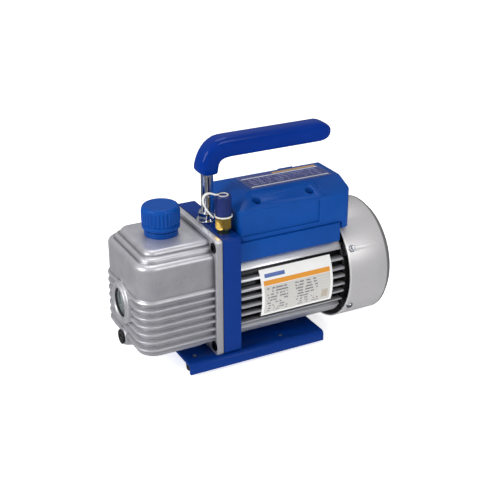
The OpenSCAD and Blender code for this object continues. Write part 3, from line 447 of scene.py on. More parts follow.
FINISHES = {
    "casting": (lacquered_casting,),
    "extrusion": (extruded_aluminium,),
    "drum": (satin_steel,),
    "enamel": (blue_enamel,),
    "abs": (moulded_abs,),
    "grip": (grip_nylon,),
    "filler": (filler_plastic,),
    # Bright chromium plate: a mirror with hair-fine polishing lines
    "chrome": (metal, "chromed_steel", "dcdfe3", "f0f2f4", (0.05, 0.12), 0.8, (1, 1, 0.1), 0.004),
    # Turned yellow brass: golden, with the bright rings of the lathe tool
    "brass": (metal, "turned_yellow_brass", "d9a848", "f6d474", (0.16, 0.3), 0.7, (0.2, 0.2, 1)),
    # Bright zinc plate on steel screws: pale grey with a cool sheen
    "zinc": (metal, "zinc_plated_steel", "b9bdc2", "d8dade", (0.22, 0.36), 0.8),
    # Blackened high-tensile steel: almost black, with an oily sheen
    "black_steel": (metal, "black_oxide_steel", "141416", "2b2b2e", (0.3, 0.45), 0.9),
    # Machined grey cast iron: mid grey, open dull grain
    "iron": (metal, "machined_grey_iron", "5a5c60", "74767a", (0.4, 0.6), 1.1, (1, 1, 1), 0.03),
    # Ground bearing steel: bright, with fine lines round the axis
    "ground": (metal, "ground_bearing_steel", "b4b7bc", "dcdee2", (0.14, 0.26), 0.7, (1, 0.15, 0.15)),
    "laminations": (electrical_steel,),
    "copper": (enamelled_copper,),
    # Painted black casting: satin black with a coarse sand texture
    "black_casting": (moulding, "painted_black_casting", "0c0c0e", "1a1a1d", (0.35, 0.5), 1.5, 1.0, 0.05),
    # Moulded black rubber: dull, faintly grainy
    "rubber": (moulding, "moulded_black_rubber", "19191a", "2a2a2b", (0.6, 0.8), 1.52, 0.9, 0.03),
    # Moulded black phenolic: deep black with a soft gloss
    "phenolic": (moulding, "moulded_black_phenolic", "0d0d0f", "1d1d20", (0.28, 0.42), 1.6, 0.7),
    # Moulded red polycarbonate of the switch: bright, slightly glossy
    "red": (moulding, "moulded_red_polycarbonate", "8f1512", "bb2a20", (0.2, 0.32), 1.58, 0.8),
    # Moulded white nylon: warm white, waxy
    "nylon": (moulding, "moulded_white_nylon", "dcdcd6", "f2f2ee", (0.3, 0.42), 1.53, 1.0),
    # Moulded polyethylene cap: deep navy blue with a soft sheen
    "navy": (moulding, "moulded_navy_polyethylene", "091a52", "0f2c78", (0.3, 0.42), 1.51, 0.7),
    # Cotton and phenolic laminate of the vanes: brown, with a fine woven fleck
    "vane": (moulding, "phenolic_cotton_laminate", "4a2a16", "7a4b2a", (0.4, 0.55), 1.55, 0.6, 0.03),
    # Pressed glass fibre of the exhaust filter: off-white, matted
    "fibre": (moulding, "pressed_glass_fibre", "c9c6b8", "e9e6da", (0.75, 0.95), 1.45, 0.9, 0.15),
    "glass": (sight_glass,),
    "oil": (oil_view,),
    "nameplate": (printed_nameplate,),
    "top_label": (printed_top_label,),
    "paper": (studio_floor,),
}
made_finishes = {}


def finish(name):
    """The material of that finish, made once."""
    if name not in made_finishes:
        make, *settings = FINISHES[name]
        made_finishes[name] = make(*settings)
    return made_finishes[name]


# ---- Shapes ----


def coated(piece, name):
    """Gives a piece or a CAD node one finish all over."""
    if not piece.data.materials:
        piece.data.materials.append(None)
    for place in range(len(piece.data.materials)):
        piece.data.materials[place] = finish(name)
    return piece


def piece_from(name, mesh):
    """Links a new object that holds that mesh."""
    piece = bpy.data.objects.new(name, mesh)
    bpy.context.scene.collection.objects.link(piece)
    return piece


def shaded(piece, angle=32):
    """Smooth shading, with edges sharper than angle kept crisp."""
    piece.data.polygons.foreach_set("use_smooth", [True] * len(piece.data.polygons))
    piece.data.set_sharp_from_angle(angle=math.radians(angle))
    piece.data.update()
    return piece


def baked(piece):
    """Turns the modifiers into plain mesh."""
    view = bpy.context.evaluated_depsgraph_get()
    mesh = bpy.data.meshes.new_from_object(piece.evaluated_get(view))
    piece.modifiers.clear()
    old = piece.data
    piece.data = mesh
    bpy.data.meshes.remove(old)
    return piece


def combined(piece, tools, operation):
    """The piece with every tool joined to it ("UNION") or cut out of it ("DIFFERENCE")."""
    for tool in tools:
        change = piece.modifiers.new("shape", "BOOLEAN")
        change.operation = operation
        change.solver = "EXACT"
        change.object = tool
    baked(piece)
    for tool in tools:
        bpy.data.objects.remove(tool)
    return piece


def kept(shape, name):
    """A new object from a bmesh whose faces are turned outwards."""
    bmesh.ops.recalc_face_normals(shape, faces=shape.faces)
    mesh = bpy.data.meshes.new(name)
    shape.to_mesh(mesh)
    shape.free()
    return piece_from(name, mesh)


def lofted(name, rings):
    """A skin over rings of equal length, each a list of points, with a cap on each end."""
    shape = bmesh.new()
    levels = [[shape.verts.new(p) for p in ring] for ring in rings]
    count = len(rings[0])
    for low, high in zip(levels, levels[1:]):
        for i in range(count):
            k = (i + 1) % count
            shape.faces.new((low[i], low[k], high[k], high[i]))
    shape.faces.new(levels[0][::-1])
    shape.faces.new(levels[-1])
    return kept(shape, name)


def turned(name, axis, centre, profile, steps=96, flutes=0):
    """A lathe piece. profile lists (place along the axis, radius, flute height), in millimetres.

    centre is the axis's place in metres; places are counted from it. A profile that starts and
    ends on the axis makes a solid, and any other profile closes on itself as a ring.
    """
    side, up = {"x": ((0, 1, 0), (0, 0, 1)), "z": ((1, 0, 0), (0, 1, 0))}[axis]
    side = Vector(side)
    up = Vector(up)
    ahead = side.cross(up)
    solid = profile[0][1] == 0 and profile[-1][1] == 0
    shape = bmesh.new()
    levels = []
    for place, radius, *height in profile:
        middle = Vector(centre) + ahead * place * MM
        if radius == 0:
            levels.append([shape.verts.new(middle)])
            continue
        ring = []
        for i in range(steps):
            turn = math.tau * i / steps
            swell = height[0] * abs(math.cos(turn * flutes / 2)) ** 1.6 if height else 0
            reach = (radius + swell) * MM
            ring.append(shape.verts.new(middle + (side * math.cos(turn) + up * math.sin(turn)) * reach))
        levels.append(ring)
    pairs = list(zip(levels, levels[1:]))
    if not solid:
        pairs.append((levels[-1], levels[0]))
    for low, high in pairs:
        for i in range(steps):
            k = (i + 1) % steps
            corners = [low[i % len(low)], low[k % len(low)], high[k % len(high)], high[i % len(high)]]
            corners = list(dict.fromkeys(corners))
            if len(corners) > 2:
                shape.faces.new(corners)
    return kept(shape, name)


def block(name, low, high, radius_mm, axis=0, steps=6):
    """A bar along one axis with rounded long edges, given by its corners in metres."""
    across = [i for i in range(3) if i != axis]
    half = [(high[i] - low[i]) / 2 for i in across]
    middle = [(high[i] + low[i]) / 2 for i in across]
    radius = radius_mm * MM
    outline = []
    for quarter in range(4):
        sx = 1 if quarter in (0, 3) else -1
        sy = 1 if quarter in (0, 1) else -1
        for i in range(steps + 1):
            turn = math.radians(90 * quarter + 90 * i / steps)
            outline.append(
                (
                    middle[0] + sx * (half[0] - radius) + radius * math.cos(turn),
                    middle[1] + sy * (half[1] - radius) + radius * math.sin(turn),
                )
            )
    rings = []
    for place in (low[axis], high[axis]):
        ring = []
        for a, b in outline:
            point = [0, 0, 0]
            point[axis] = place
            point[across[0]] = a
            point[across[1]] = b
            ring.append(point)
        rings.append(ring)
    return lofted(name, rings)


def softened(node, width_mm, segments=2, angle=35):
    """A copy of a CAD node with its sharp edges rounded."""
    source = NODES[node]
    shape = bmesh.new()
    shape.from_mesh(source.data)
    bmesh.ops.remove_doubles(shape, verts=shape.verts, dist=2e-6)
    flat = math.radians(0.6)
    bmesh.ops.dissolve_limit(shape, angle_limit=flat, verts=shape.verts, edges=shape.edges)
    shape.verts.index_update()
    points = [v.co.copy() for v in shape.verts]
    faces = [[v.index for v in f.verts] for f in shape.faces]
    shape.free()
    mesh = bpy.data.meshes.new(node + "_finished")
    mesh.from_pydata(points, [], faces)
    piece = piece_from(node + "_finished", mesh)
    rounding = piece.modifiers.new("soft_edges", "BEVEL")
    rounding.width = width_mm * MM
    rounding.segments = segments
    rounding.limit_method = "ANGLE"
    rounding.angle_limit = math.radians(angle)
    rounding.miter_outer = "MITER_ARC"
    return shaded(baked(piece), 30)


def placed(piece, body, look, slot, *nodes):
    """Finishes a piece: its looks, the body it rides on, and the nodes it stands for, which it hides. The
    slot argument is not used.
    """
    coated(piece, look)
    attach(piece, body)
    if nodes:
        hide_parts(*nodes)
    return piece


def body_of(node):
    """The CAD body that a node belongs to."""
    return NODES[node]["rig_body"]


def slot_of(node):
    """The material slot that the record gives a node."""
    return next(s["material_slot"] for s in frame["record"]["subparts"] if s["node"] == node)


def dressed(node, look, width_mm, segments=2, angle=35):
    """Replaces a CAD node with its softened copy in that finish."""
    piece = softened(node, width_mm, segments, angle)
    return placed(piece, body_of(node), look, slot_of(node), node)


# ---- Properties ----


def tint(name, use, code):
    """A colour setting with its default as an sRGB hex code."""
    look = {"name": name, "description": "Colour of " + use, "default": linear(code)}
    return FloatVectorProperty(subtype="COLOR", min=0, max=1, **look)


class PumpFinish(bpy.types.PropertyGroup):
    """Colours of the pump's blue pieces."""

    enamel: tint("Enamel", "the baked enamel on the base and the bracket", "03368a")
    moulded: tint("Terminal box", "the moulded terminal box", "024aa0")
    grip: tint("Grip", "the polished handle grip", "023392")
    filler: tint("Filler cap", "the oil filler cap and its neck", "064ca4")


class PumpSizes(bpy.types.PropertyGroup):
    """Sizes of the reservoir's casting and the cap that a maker may change."""

    fins: IntProperty(
        name="Fins", description="Number of cooling fins round the reservoir", min=3, max=9,
        default=7,
    )
    fin_pitch: FloatProperty(
        name="Fin pitch", description="Distance between two fins", unit="LENGTH",
        subtype="DISTANCE", min=0.004, default=0.00808,
    )
    fin_depth: FloatProperty(
        name="Fin depth", description="Depth of the valleys between the fins", unit="LENGTH",
        subtype="DISTANCE", min=0.001, default=0.0039,
    )
    flutes: IntProperty(
        name="Flutes", description="Number of grip ribs round the oil filler cap", min=8, max=60,
        default=30,
    )


class PumpStudio(bpy.types.PropertyGroup):
    """The camera and the light of the stage."""

    camera: FloatVectorProperty(
        name="Camera", description="Place of the camera", unit="LENGTH", subtype="TRANSLATION",
        default=(-0.4204, -0.8067, 0.5082),
    )
    target: FloatVectorProperty(
        name="Target", description="Point that the camera looks at", unit="LENGTH",
        subtype="TRANSLATION", default=(0.0019, 0.0, 0.0942),
    )
    lens: FloatProperty(
        name="Lens", description="Focal length of the camera on a 36 mm sensor, in millimetres",
        unit="CAMERA", default=73.85,
    )
    key: FloatProperty(
        name="Key light", description="Power of the large soft light", unit="POWER", min=0,
        default=9.6,
    )
    world: FloatProperty(
        name="Room light", description="Brightness of the pale room round the stage", min=0,
        default=0.5,
    )


# ---- Pieces ----


class PUMP_OT_stage(bpy.types.Operator):
    """Pale floor, soft lights and the camera"""

    bl_idname = "pump.stage"
    bl_label = "Stage"

    def execute(self, context):
        look = context.scene.pump_studio
        shape = bmesh.new()
        reach = 3.0
        turns = [math.tau * i / 48 for i in range(48)]
        ring = [(reach * math.cos(t), reach * math.sin(t), -0.2 * MM) for t in turns]
        shape.faces.new([shape.verts.new(p) for p in ring])
        mesh = bpy.data.meshes.new("studio_floor")
        shape.to_mesh(mesh)
        shape.free()
        floor = coated(piece_from("studio_floor", mesh), "paper")
        # The paper is seen but not mirrored, so that metal keeps its dark undersides
        floor.visible_glossy = False

        world = bpy.data.worlds.new("pale_room")
        world.use_nodes = True
        tree = world.node_tree
        tree.nodes.clear()
        around = add(tree, "ShaderNodeTexCoord").outputs["Generated"]
        height = add(tree, "ShaderNodeSeparateXYZ", links={"Vector": around}).outputs["Z"]
        # A bright ceiling over darker walls gives metal and gloss their contrast
        rise = spread(tree, height, 0, 1, 0.15, 0.75)
        room = blended(tree, rise, linear("9a9ca0"), linear("ffffff"))
        light = add(tree, "ShaderNodeBackground", {"Strength": look.world}, {"Color": room})
        # Seen directly, the room is plain and nearly white
        plain = add(tree, "ShaderNodeBackground", {"Color": linear("fafafa", 1.0)})
        seen = add(tree, "ShaderNodeLightPath").outputs["Is Camera Ray"]
        mixed = add(tree, "ShaderNodeMixShader", links={0: seen, 1: light.outputs[0], 2: plain.outputs[0]})
        add(tree, "ShaderNodeOutputWorld", links={"Surface": mixed.outputs[0]})
        context.scene.world = world
        context.scene.view_settings.view_transform = "Standard"

        lights = (
            ("key_light", (-1.25, -0.2, 0.75), 0.6, look.key),
            ("front_light", (0.35, -1.2, 0.75), 0.5, 0.36 * look.key),
            ("top_light", (0.1, 0.35, 1.4), 0.7, 0.55 * look.key),
        )
        for name, place, size, power in lights:
            lamp = bpy.data.lights.new(name, "AREA")
            lamp.shape = "SQUARE"
            lamp.size = size
            lamp.energy = power
            holder = bpy.data.objects.new(name, lamp)
            holder.location = place
            aim = Vector(look.target) - Vector(place)
            holder.rotation_mode = "QUATERNION"
            holder.rotation_quaternion = aim.to_track_quat("-Z", "Y")
            context.scene.collection.objects.link(holder)

        data = bpy.data.cameras.new("camera")
        data.lens = look.lens
        data.sensor_width = 36
        camera = bpy.data.objects.new("camera", data)
        camera.location = look.camera
        camera.rotation_mode = "QUATERNION"
        camera.rotation_quaternion = (Vector(look.target) - Vector(look.camera)).to_track_quat("-Z", "Y")
        context.scene.collection.objects.link(camera)
        context.scene.camera = camera
        return {"FINISHED"}


def reservoir_outline(tip, half, back, inset, corner):
    """The reservoir seen from above, at that inset: along -Y, round the front, back along +Y."""
    front = tip + inset
    side = half - inset
    points = []
    for i in range(10):
        points.append((back + (front + corner - back) * i / 10, -side))
    for i in range(13):
        turn = math.radians(-90 - 90 * i / 12)
        points.append((front + corner + corner * math.cos(turn), -side + corner + corner * math.sin(turn)))
    for i in range(1, 12):
        points.append((front, -(side - corner) + 2 * (side - corner) * i / 12))
    for i in range(13):
        turn = math.radians(180 - 90 * i / 12)
        points.append((front + corner + corner * math.cos(turn), side - corner + corner * math.sin(turn)))
    for i in range(1, 11):
        points.append((front + corner + (back - front - corner) * i / 10, side))
    return points


def reservoir_levels(sizes):
    """Heights and insets of the casting's wall from its underside to the plateau, in millimetres."""
    smooth = 1.9
    depth = sizes.fin_depth / MM
    pitch = sizes.fin_pitch / MM
    first = 33.6
    last = first + (sizes.fins - 1) * pitch
    levels = []
    for i in range(7):
        turn = math.radians(90 * i / 6)
        levels.append((24.5 + 7 * (1 - math.cos(turn)), smooth + 7 * (1 - math.sin(turn))))
    levels += [(31.9, 1.3), (32.5, 0.45)]
    for fin in range(sizes.fins - 1):
        for i in range(16):
            phase = i / 16
            away = min(phase, 1 - phase) * 2
            rise = min(max((away - 0.14) / 0.6, 0), 1)
            inset = depth * rise * rise * (3 - 2 * rise)
            crown = 0.25 * min(away / 0.14, 1) ** 2
            levels.append((first + (fin + phase) * pitch, max(inset, crown * 0.6)))
    levels += [(last, 0.0), (last + 0.9, 0.35), (last + 1.5, 1.0), (last + 2.2, 1.7), (last + 3.2, smooth)]
    # Many short steps keep the shading even round the sight-glass boss
    levels += [(last + 5.2 + 2 * i, smooth) for i in range(12)]
    steps = ((smooth, 118.3, 5.0), (8.0, 122.6, 3.0), (12.5, 128.2, 4.6))
    for inset, top, edge in steps:
        for i in range(8):
            turn = math.radians(90 * i / 7)
            levels.append((top - edge + edge * math.sin(turn), inset + edge * (1 - math.cos(turn))))
    return levels


class PUMP_OT_reservoir(bpy.types.Operator):
    """The finned oil reservoir with its flange, sight-glass boss and drain boss"""

    bl_idname = "pump.reservoir"
    bl_label = "Oil reservoir"

    def execute(self, context):
        low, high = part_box("oil_reservoir")
        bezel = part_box("sight_glass_bezel")
        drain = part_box("drain_plug_seal")
        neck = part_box("filler_neck")
        tip = low.x + 1.4 * MM
        half = 49 * MM
        flange = high.x - 6.6 * MM
        back = flange + 1 * MM
        glass = Vector((0, 0, (bezel[0].z + bezel[1].z) / 2))
        plug = Vector((0, 0, (drain[0].z + drain[1].z) / 2))
        filler = Vector(((neck[0].x + neck[1].x) / 2, 0, 0))
        rings = []
        for height, inset in reservoir_levels(context.scene.pump_sizes):
            corner = (18 - 0.62 * inset) * MM
            plan = reservoir_outline(tip, half, back, inset * MM, corner)
            rings.append([(x, y, height * MM) for x, y in plan])
        body = lofted("oil_reservoir_casting", rings)

        front = tip / MM
        plate = block("flange_plate", (flange, low.y, low.z), (high.x, high.y, high.z), 3.0)
        rounding = plate.modifiers.new("soft_edges", "BEVEL")
        rounding.width = 0.7 * MM
        rounding.segments = 3
        rounding.angle_limit = math.radians(40)
        baked(plate)
        boss = turned(
            "sight_glass_boss", "x", glass,
            [
                (front + 9, 0), (front + 9, 25), (front + 4.5, 23.2), (front + 2.4, 22.0),
                (front + 1.0, 21.2), (front + 0.2, 21.0), (front - 0.5, 20.7), (front - 1.1, 20.1),
                (front - 1.4, 19.4), (front - 1.4, 0),
            ],
        )
        nose = turned(
            "drain_boss", "x", plug,
            [
                (front + 9, 0), (front + 9, 10.6), (front + 3, 9.4), (front + 0.6, 8.6),
                (front - 0.3, 8.3), (front - 0.6, 7.9), (front - 0.6, 0),
            ],
        )
        combined(body, [plate, boss, nose], "UNION")

        inside = []
        for height in (29.0, 33.0, 110.0, 114.0):
            ends = height in (29.0, 114.0)
            inset = (10.0 if ends else 7.0) * MM
            plan = reservoir_outline(tip, half, high.x + 1 * MM, inset, (10 if ends else 12) * MM)
            inside.append([(x, y, height * MM) for x, y in plan])
        cavity = lofted("cavity", inside)
        dome = []
        for height in (104.0, 121.0, 124.2):
            inset = (19.0 if height > 124 else 16.0) * MM
            plan = reservoir_outline(tip, half, high.x + 1 * MM, inset, 8 * MM)
            dome.append([(x, y, height * MM) for x, y in plan])
        attic = lofted("cavity_top", dome)
        seat = turned(
            "sight_glass_seat", "x", glass,
            [
                (front + 20, 0), (front + 20, 13), (front + 4.8, 13), (front + 4.8, 16.05),
                (front + 1.0, 16.05), (front + 1.0, 18.05), (front - 3, 18.05), (front - 3, 0),
            ],
        )
        bore = [(front + 12, 0), (front + 12, 4.05), (front - 3, 4.05), (front - 3, 0)]
        drill = turned("drain_hole", "x", plug, bore)
        mouth = turned("filler_hole", "z", filler, [(110, 0), (110, 12.05), (130, 12.05), (130, 0)])
        cuts = [cavity, attic, seat, drill, mouth]
        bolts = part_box("reservoir_bolts")
        for y in (bolts[0].y + 5 * MM, bolts[1].y - 5 * MM):
            for z in (bolts[0].z + 5 * MM, bolts[1].z - 5 * MM):
                edge = flange / MM
                cuts.append(
                    turned(
                        "bolt_scoop", "x", (0, y, z),
                        [
                            (edge + 10, 0), (edge + 10, 3.3), (edge + 4, 3.3), (edge + 4, 5.2),
                            (edge + 0.02, 5.2), (edge + 0.02, 6.4), (edge - 10, 6.4),
                            (edge - 13, 5.6), (edge - 15, 3.6), (edge - 15.8, 0),
                        ],
                        48,
                    )
                )
        combined(body, cuts, "DIFFERENCE")
        placed(shaded(body, 38), "frame", "casting", slot_of("oil_reservoir"), "oil_reservoir")
        return {"FINISHED"}


class PUMP_OT_sight_glass(bpy.types.Operator):
    """Sight-glass bezel, its lens and the oil seen behind it"""

    bl_idname = "pump.sight_glass"
    bl_label = "Sight glass"

    def execute(self, context):
        low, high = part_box("sight_glass_bezel")
        centre = Vector((low.x, 0, (low.z + high.z) / 2))
        depth = (high.x - low.x) / MM
        ring = turned(
            "sight_glass_bezel_ring", "x", centre,
            [
                (depth, 18.0), (1.2, 18.0), (0.5, 17.7), (0.1, 17.2), (0.0, 16.6), (0.15, 15.6),
                (0.8, 14.7), (1.6, 14.1), (depth, 13.6),
            ],
            128,
        )
        placed(shaded(ring, 50), "frame", "casting", slot_of("sight_glass_bezel"), "sight_glass_bezel")
        # A dark rubber ring inside the deep bezel: a seal, and a dark piece that stands for the shade
        # falling inside the ring
        seal = turned(
            "sight_glass_seal_and_shade_ring", "x", centre,
            [(1.9, 14.0), (1.9, 13.3), (2.2, 13.0), (depth, 13.0), (depth, 13.5)],
            128,
        )
        placed(shaded(seal, 50), "frame", "rubber", slot_of("sight_glass_bezel"))
        low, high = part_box("sight_glass_lens")
        centre.x = low.x
        depth = (high.x - low.x) / MM
        lens = turned(
            "sight_glass_pane", "x", centre,
            [(-0.25, 0), (-0.2, 6), (-0.05, 12.8), (0, 13.4), (0.1, 16.0), (depth, 16.0), (depth, 0)],
            128,
        )
        placed(shaded(lens, 30), "frame", "glass", slot_of("sight_glass_lens"), "sight_glass_lens")
        centre.x = high.x + 1.2 * MM
        view = turned(
            "oil_behind_sight_glass", "x", centre,
            [(0.3, 0), (0.3, 12.2), (0, 12.6), (0.4, 12.9), (1.2, 12.9), (1.2, 0)],
        )
        placed(shaded(view, 40), "frame", "oil", slot_of("sight_glass_lens"))
        return {"FINISHED"}


class PUMP_OT_filler(bpy.types.Operator):
    """Fluted oil filler cap and its neck"""

    bl_idname = "pump.filler"
    bl_label = "Oil filler"

    def execute(self, context):
        low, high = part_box("oil_filler_cap")
        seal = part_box("filler_cap_seal")
        centre = Vector(((low.x + high.x) / 2, 0, 0))
        base = low.z / MM
        top = high.z / MM
        bore = seal[1].z / MM + 0.1
        profile = [
            (bore, 0), (bore, 13.3), (base, 13.3), (base, 17.3), (base + 0.3, 17.8),
            (base + 0.9, 18.0), (base + 3.6, 18.0), (base + 4.1, 17.8), (base + 4.4, 17.1, 0.0),
            (base + 4.9, 17.0, 0.3), (base + 5.8, 17.0, 1.1), (base + 7.2, 17.0, 1.25),
            (top - 6.0, 17.0, 1.25), (top - 4.6, 17.05, 1.1), (top - 3.8, 17.2, 0.6),
            (top - 3.2, 17.6, 0.2), (top - 2.8, 17.7, 0.0), (top - 1.6, 17.2, 0.0),
            (top - 0.8, 16.6, 0.0), (top - 0.25, 15.8, 0.0), (top - 0.05, 14.8, 0.0),
            (top - 0.25, 13.6, 0.0), (top - 0.3, 8.0, 0.0), (top - 0.1, 3.0, 0.0), (top - 0.05, 0),
        ]
        flutes = context.scene.pump_sizes.flutes
        cap = turned("oil_filler_cap_moulding", "z", centre, profile, 12 * flutes, flutes)
        placed(shaded(cap, 44), "filler_cap", "filler", slot_of("oil_filler_cap"), "oil_filler_cap")
        dressed("filler_neck", "filler", 0.35, 3)
        return {"FINISHED"}


class PUMP_OT_inlet(bpy.types.Operator):
    """Brass flare inlet, its cap and the strap that keeps the cap"""

    bl_idname = "pump.inlet"
    bl_label = "Inlet"

    def execute(self, context):
        dressed("inlet_fitting", "brass", 0.3, 2, 25)
        low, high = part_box("inlet_cap")
        centre = Vector(((low.x + high.x) / 2, (low.y + high.y) / 2, 0))
        base = low.z / MM
        top = high.z / MM
        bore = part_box("inlet_cap_gasket")[1].z / MM + 0.1
        cap = turned(
            "inlet_cap_moulding", "z", centre,
            [
                (bore, 0), (bore, 5.86), (base, 5.86), (base, 7.2), (base + 0.4, 7.6),
                (base + 2.2, 7.7, 0.0), (base + 2.8, 7.3, 0.15), (base + 4.0, 7.2, 0.45),
                (top - 4.0, 7.2, 0.45), (top - 2.8, 7.3, 0.15), (top - 2.3, 7.65, 0.0),
                (top - 1.2, 7.6), (top - 0.3, 6.9), (top, 6.4), (top - 0.1, 5.7), (top - 1.0, 5.35),
                (top - 1.6, 5.3), (top - 1.6, 3.6), (top - 0.3, 3.6), (top, 3.2), (top, 0),
            ],
            144, 18,
        )
        placed(shaded(cap, 40), "inlet_cap", "navy", slot_of("inlet_cap"), "inlet_cap")
        self.strap(centre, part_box("inlet_cap_tether"))
        return {"FINISHED"}

    def strap(self, centre, limits):
        """The moulded strap: a ring under the hexagon's nut, a ribbon, and a ring on top of the cap."""
        # The same route as the strap's CAD solid, in millimetres
        route = [
            (-51.2, 149.4), (-55.2, 154.2), (-58.9, 160.0), (-61.0, 164.7), (-61.3, 169.1),
            (-59.6, 172.4), (-56.4, 173.7), (-52.9, 173.0), (-49.8, 171.6), (-46.0, 170.6),
        ]
        ends = [(-49.2, 149.2)] + route + [(-44.6, 170.5)]
        line = []
        for i in range(1, len(ends) - 2):
            a, b, c, d = (Vector(p) for p in ends[i - 1 : i + 3])
            for step in range(6):
                t = step / 6
                curve = (2 * a - 5 * b + 4 * c - d) * t * t + (3 * b - a - 3 * c + d) * t**3
                line.append(0.5 * (2 * b + (c - a) * t + curve))
        line.append(Vector(ends[-2]))
        rings = []
        for i, point in enumerate(line):
            ahead = (line[min(i + 1, len(line) - 1)] - line[max(i - 1, 0)]).normalized()
            across = Vector((-ahead.y, ahead.x))
            ring = []
            for k in range(16):
                turn = math.tau * k / 16
                wide = 1.3 * math.copysign(abs(math.cos(turn)) ** 0.5, math.cos(turn))
                thick = 0.7 * math.copysign(abs(math.sin(turn)) ** 0.5, math.sin(turn))
                place = point + across * thick
                ring.append((place.x * MM, centre.y + wide * MM, place.y * MM))
            rings.append(ring)
        ribbon = lofted("inlet_cap_strap", rings)
        base = limits[0].z / MM
        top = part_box("inlet_cap")[1].z / MM
        lower = turned(
            "strap_lower_ring", "z", centre,
            [
                (base, 6.2), (base, 8.3), (base + 0.3, 8.6), (base + 0.9, 8.6), (base + 1.2, 8.3),
                (base + 1.2, 6.2), (base + 0.9, 5.86), (base + 0.3, 5.86),
            ],
            64,
        )
        upper = turned(
            "strap_upper_ring", "z", centre,
            [
                (top - 1.4, 3.9), (top - 1.4, 4.9), (top - 0.1, 4.9), (top + 0.25, 4.7),
                (top + 0.3, 4.4), (top + 0.25, 4.1), (top - 0.1, 3.9),
            ],
            64,
        )
        combined(ribbon, [lower, upper], "UNION")
        shaded(coated(ribbon, "nylon"), 45)
        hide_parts("inlet_cap_tether")
        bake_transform(ribbon)


class PUMP_OT_handle(bpy.types.Operator):
    """Carry handle: polished grip on a chromed post with its nut and washer"""

    bl_idname = "pump.handle"
    bl_label = "Handle"

    def execute(self, context):
        low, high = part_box("handle_grip")
        top = high.z / MM
        rear = low.x / MM
        tip = high.x / MM
        under = top - 20.6
        # Pairs of points across the grip, outside then inside, from the collar to the tip
        bend = (
            ((4.6, 180.0), (19.6, 180.0), 8.4), ((4.1, 180.3), (20.1, 180.3), 9.0),
            ((2.4, 181.6), (20.4, 181.4), 9.6), ((0.9, 183.4), (20.6, 182.8), 10.0),
            ((0.4, 185.2), (20.8, 184.2), 10.3), ((0.9, 188.6), (21.0, 186.4), 10.5),
            ((1.9, 192.4), (21.4, 188.2), 10.5), ((3.4, 196.4), (22.0, 189.6), 10.5),
            ((5.4, 200.4), (22.9, 190.8), 10.5), ((8.0, 204.4), (24.2, 191.8), 10.5),
            ((11.2, 208.0), (26.0, 192.6), 10.5), ((15.2, 211.0), (28.2, 193.2), 10.5),
            ((20.0, 213.2), (30.8, 193.6), 10.5), ((25.0, 214.1), (33.6, 193.7), 10.5),
        )
        stations = []
        for (x0, z0), (x1, z1), wide in bend:
            stations.append(((rear + x0, z0), (rear + x1, z1), wide))
        straight = tip - 15
        for i in range(12):
            x = rear + 30 + (straight - rear - 30) * i / 11
            stations.append(((x, top), (x + 6 * (1 - i / 11), under), 10.5))
        # The tip falls away more from its top than from its underside
        for i in range(1, 13):
            reach = i / 12
            x = straight + 15 * reach
            round_off = math.sqrt(max(1 - reach**2.6, 0.0004))
            high_z = top - 6.4 * reach**1.5 - 4.2 * (1 - round_off)
            low_z = under + 3.0 * reach**2 + 5.2 * (1 - round_off)
            stations.append(((x, high_z), (x, low_z), 10.5 * (0.16 + 0.84 * round_off)))
        rings = []
        for outer, inside, wide in stations:
            outer = Vector(outer)
            inside = Vector(inside)
            middle = (outer + inside) / 2
            reach = (outer - inside) / 2
            ring = []
            for k in range(48):
                turn = math.tau * k / 48
                across = math.copysign(abs(math.cos(turn)) ** 0.55, math.cos(turn))
                along = math.copysign(abs(math.sin(turn)) ** 0.55, math.sin(turn))
                place = middle + reach * along
                ring.append((place.x * MM, wide * across * MM, place.y * MM))
            rings.append(ring)
        grip = lofted("handle_grip_moulding", rings)
        placed(shaded(grip, 50), "frame", "grip", slot_of("handle_grip"), "handle_grip")
        coated(NODES["handle_post"], "chrome")
        dressed("handle_lock_nut", "chrome", 0.35, 2, 25)
        dressed("handle_washer", "chrome", 0.3, 2)
        return {"FINISHED"}


class PUMP_OT_base(bpy.types.Operator):
    """Bent sheet base, bracket, feet and the bolts between them"""

    bl_idname = "pump.base"
    bl_label = "Base and bracket"

    def execute(self, context):
        dressed("base_plate", "enamel", 0.5, 2)
        dressed("pump_bracket", "enamel", 0.7, 3)
        dressed("rubber_feet", "rubber", 0.5, 2)
        dressed("foot_screws", "zinc", 0.2)
        dressed("base_bolts", "zinc", 0.2)
        dressed("reservoir_bolts", "black_steel", 0.35, 2)
        dressed("drain_plug", "phenolic", 0.5, 3)
        coated(NODES["reservoir_gasket"], "rubber")
        return {"FINISHED"}


class PUMP_OT_motor(bpy.types.Operator):
    """Finned motor housing, end bell, fan cover and nameplate"""

    bl_idname = "pump.motor"
    bl_label = "Motor"

    def execute(self, context):
        dressed("motor_housing", "extrusion", 0.35, 2)
        dressed("motor_end_bell", "black_casting", 0.3, 2)
        dressed("fan_cover", "drum", 0.3, 2)
        dressed("fan_cover_screws", "zinc", 0.15)
        coated(NODES["nameplate"], "nameplate")
        coated(NODES["tie_bolts"], "zinc")
        return {"FINISHED"}


class PUMP_OT_terminal_box(bpy.types.Operator):
    """Terminal box with its cover, label, screws, socket and switch"""

    bl_idname = "pump.terminal_box"
    bl_label = "Terminal box"

    def execute(self, context):
        dressed("terminal_box_base", "abs", 0.5, 2)
        dressed("terminal_box_cover", "abs", 0.7, 2, 12)
        dressed("cover_screws", "zinc", 0.25)
        coated(NODES["cover_label"], "top_label")
        dressed("power_inlet", "phenolic", 0.3)
        dressed("power_switch_body", "phenolic", 0.3)
        dressed("switch_rocker", "red", 0.4, 3)
        return {"FINISHED"}


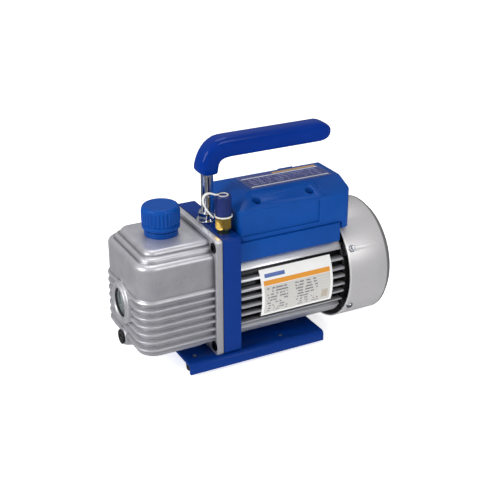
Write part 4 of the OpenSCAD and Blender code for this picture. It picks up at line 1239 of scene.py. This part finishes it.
class PUMP_OT_inner_pieces(bpy.types.Operator):
    """Finishes of the pieces inside the reservoir, the bracket and the motor"""

    bl_idname = "pump.inner_pieces"
    bl_label = "Inner pieces"

    def execute(self, context):
        bearings = ("bearing_outer_rings", "bearing_inner_rings", "bearing_balls")
        screws = ("pump_cover_screws", "valve_screws")
        seals = ("sight_glass_seal", "filler_cap_seal", "drain_plug_seal")
        looks = {
            "iron": ("pump_cylinder", "pump_end_cover"),
            "ground": ("pump_rotor", "motor_shaft", *bearings),
            "vane": ("vane_a", "vane_b"),
            "zinc": (*screws, "drive_key", "vane_springs", "valve_stop", "inlet_screen"),
            "chrome": ("discharge_reed",),
            "rubber": ("shaft_seal", *seals, "inlet_cap_gasket"),
            "laminations": ("stator_core", "rotor_core"),
            "copper": ("stator_windings",),
            "phenolic": ("cooling_fan",),
            "nylon": ("run_capacitor",),
            "fibre": ("exhaust_filter",),
        }
        for look, nodes in looks.items():
            for node in nodes:
                coated(NODES[node], look)
        return {"FINISHED"}


class PUMP_PT_pump(bpy.types.Panel):
    """Builds the pump's pieces one by one"""

    bl_idname = "PUMP_PT_pump"
    bl_label = "Vacuum pump"
    bl_space_type = "VIEW_3D"
    bl_region_type = "UI"
    bl_category = "Pump"

    def draw(self, context):
        for group in ("pump_finish", "pump_sizes", "pump_studio"):
            settings = getattr(context.scene, group)
            for name in settings.__annotations__:
                self.layout.prop(settings, name)
        for operator in OPERATORS:
            self.layout.operator(operator.bl_idname)


GROUPS = {"pump_finish": PumpFinish, "pump_sizes": PumpSizes, "pump_studio": PumpStudio}
OPERATORS = (
    PUMP_OT_stage,
    PUMP_OT_reservoir,
    PUMP_OT_sight_glass,
    PUMP_OT_filler,
    PUMP_OT_inlet,
    PUMP_OT_handle,
    PUMP_OT_base,
    PUMP_OT_motor,
    PUMP_OT_terminal_box,
    PUMP_OT_inner_pieces,
)


def register():
    """Registers the classes and gives the scene its three groups of settings."""
    for kind in (*GROUPS.values(), *OPERATORS, PUMP_PT_pump):
        bpy.utils.register_class(kind)
    for name, kind in GROUPS.items():
        setattr(bpy.types.Scene, name, PointerProperty(type=kind))


def unregister():
    """Removes the settings and the classes again."""
    for name in GROUPS:
        delattr(bpy.types.Scene, name)
    for kind in reversed((*GROUPS.values(), *OPERATORS, PUMP_PT_pump)):
        bpy.utils.unregister_class(kind)


def main():
    register()
    for operator in OPERATORS:
        group, name = operator.bl_idname.split(".")
        getattr(getattr(bpy.ops, group), name)()


if __name__ == "__main__":
    main()
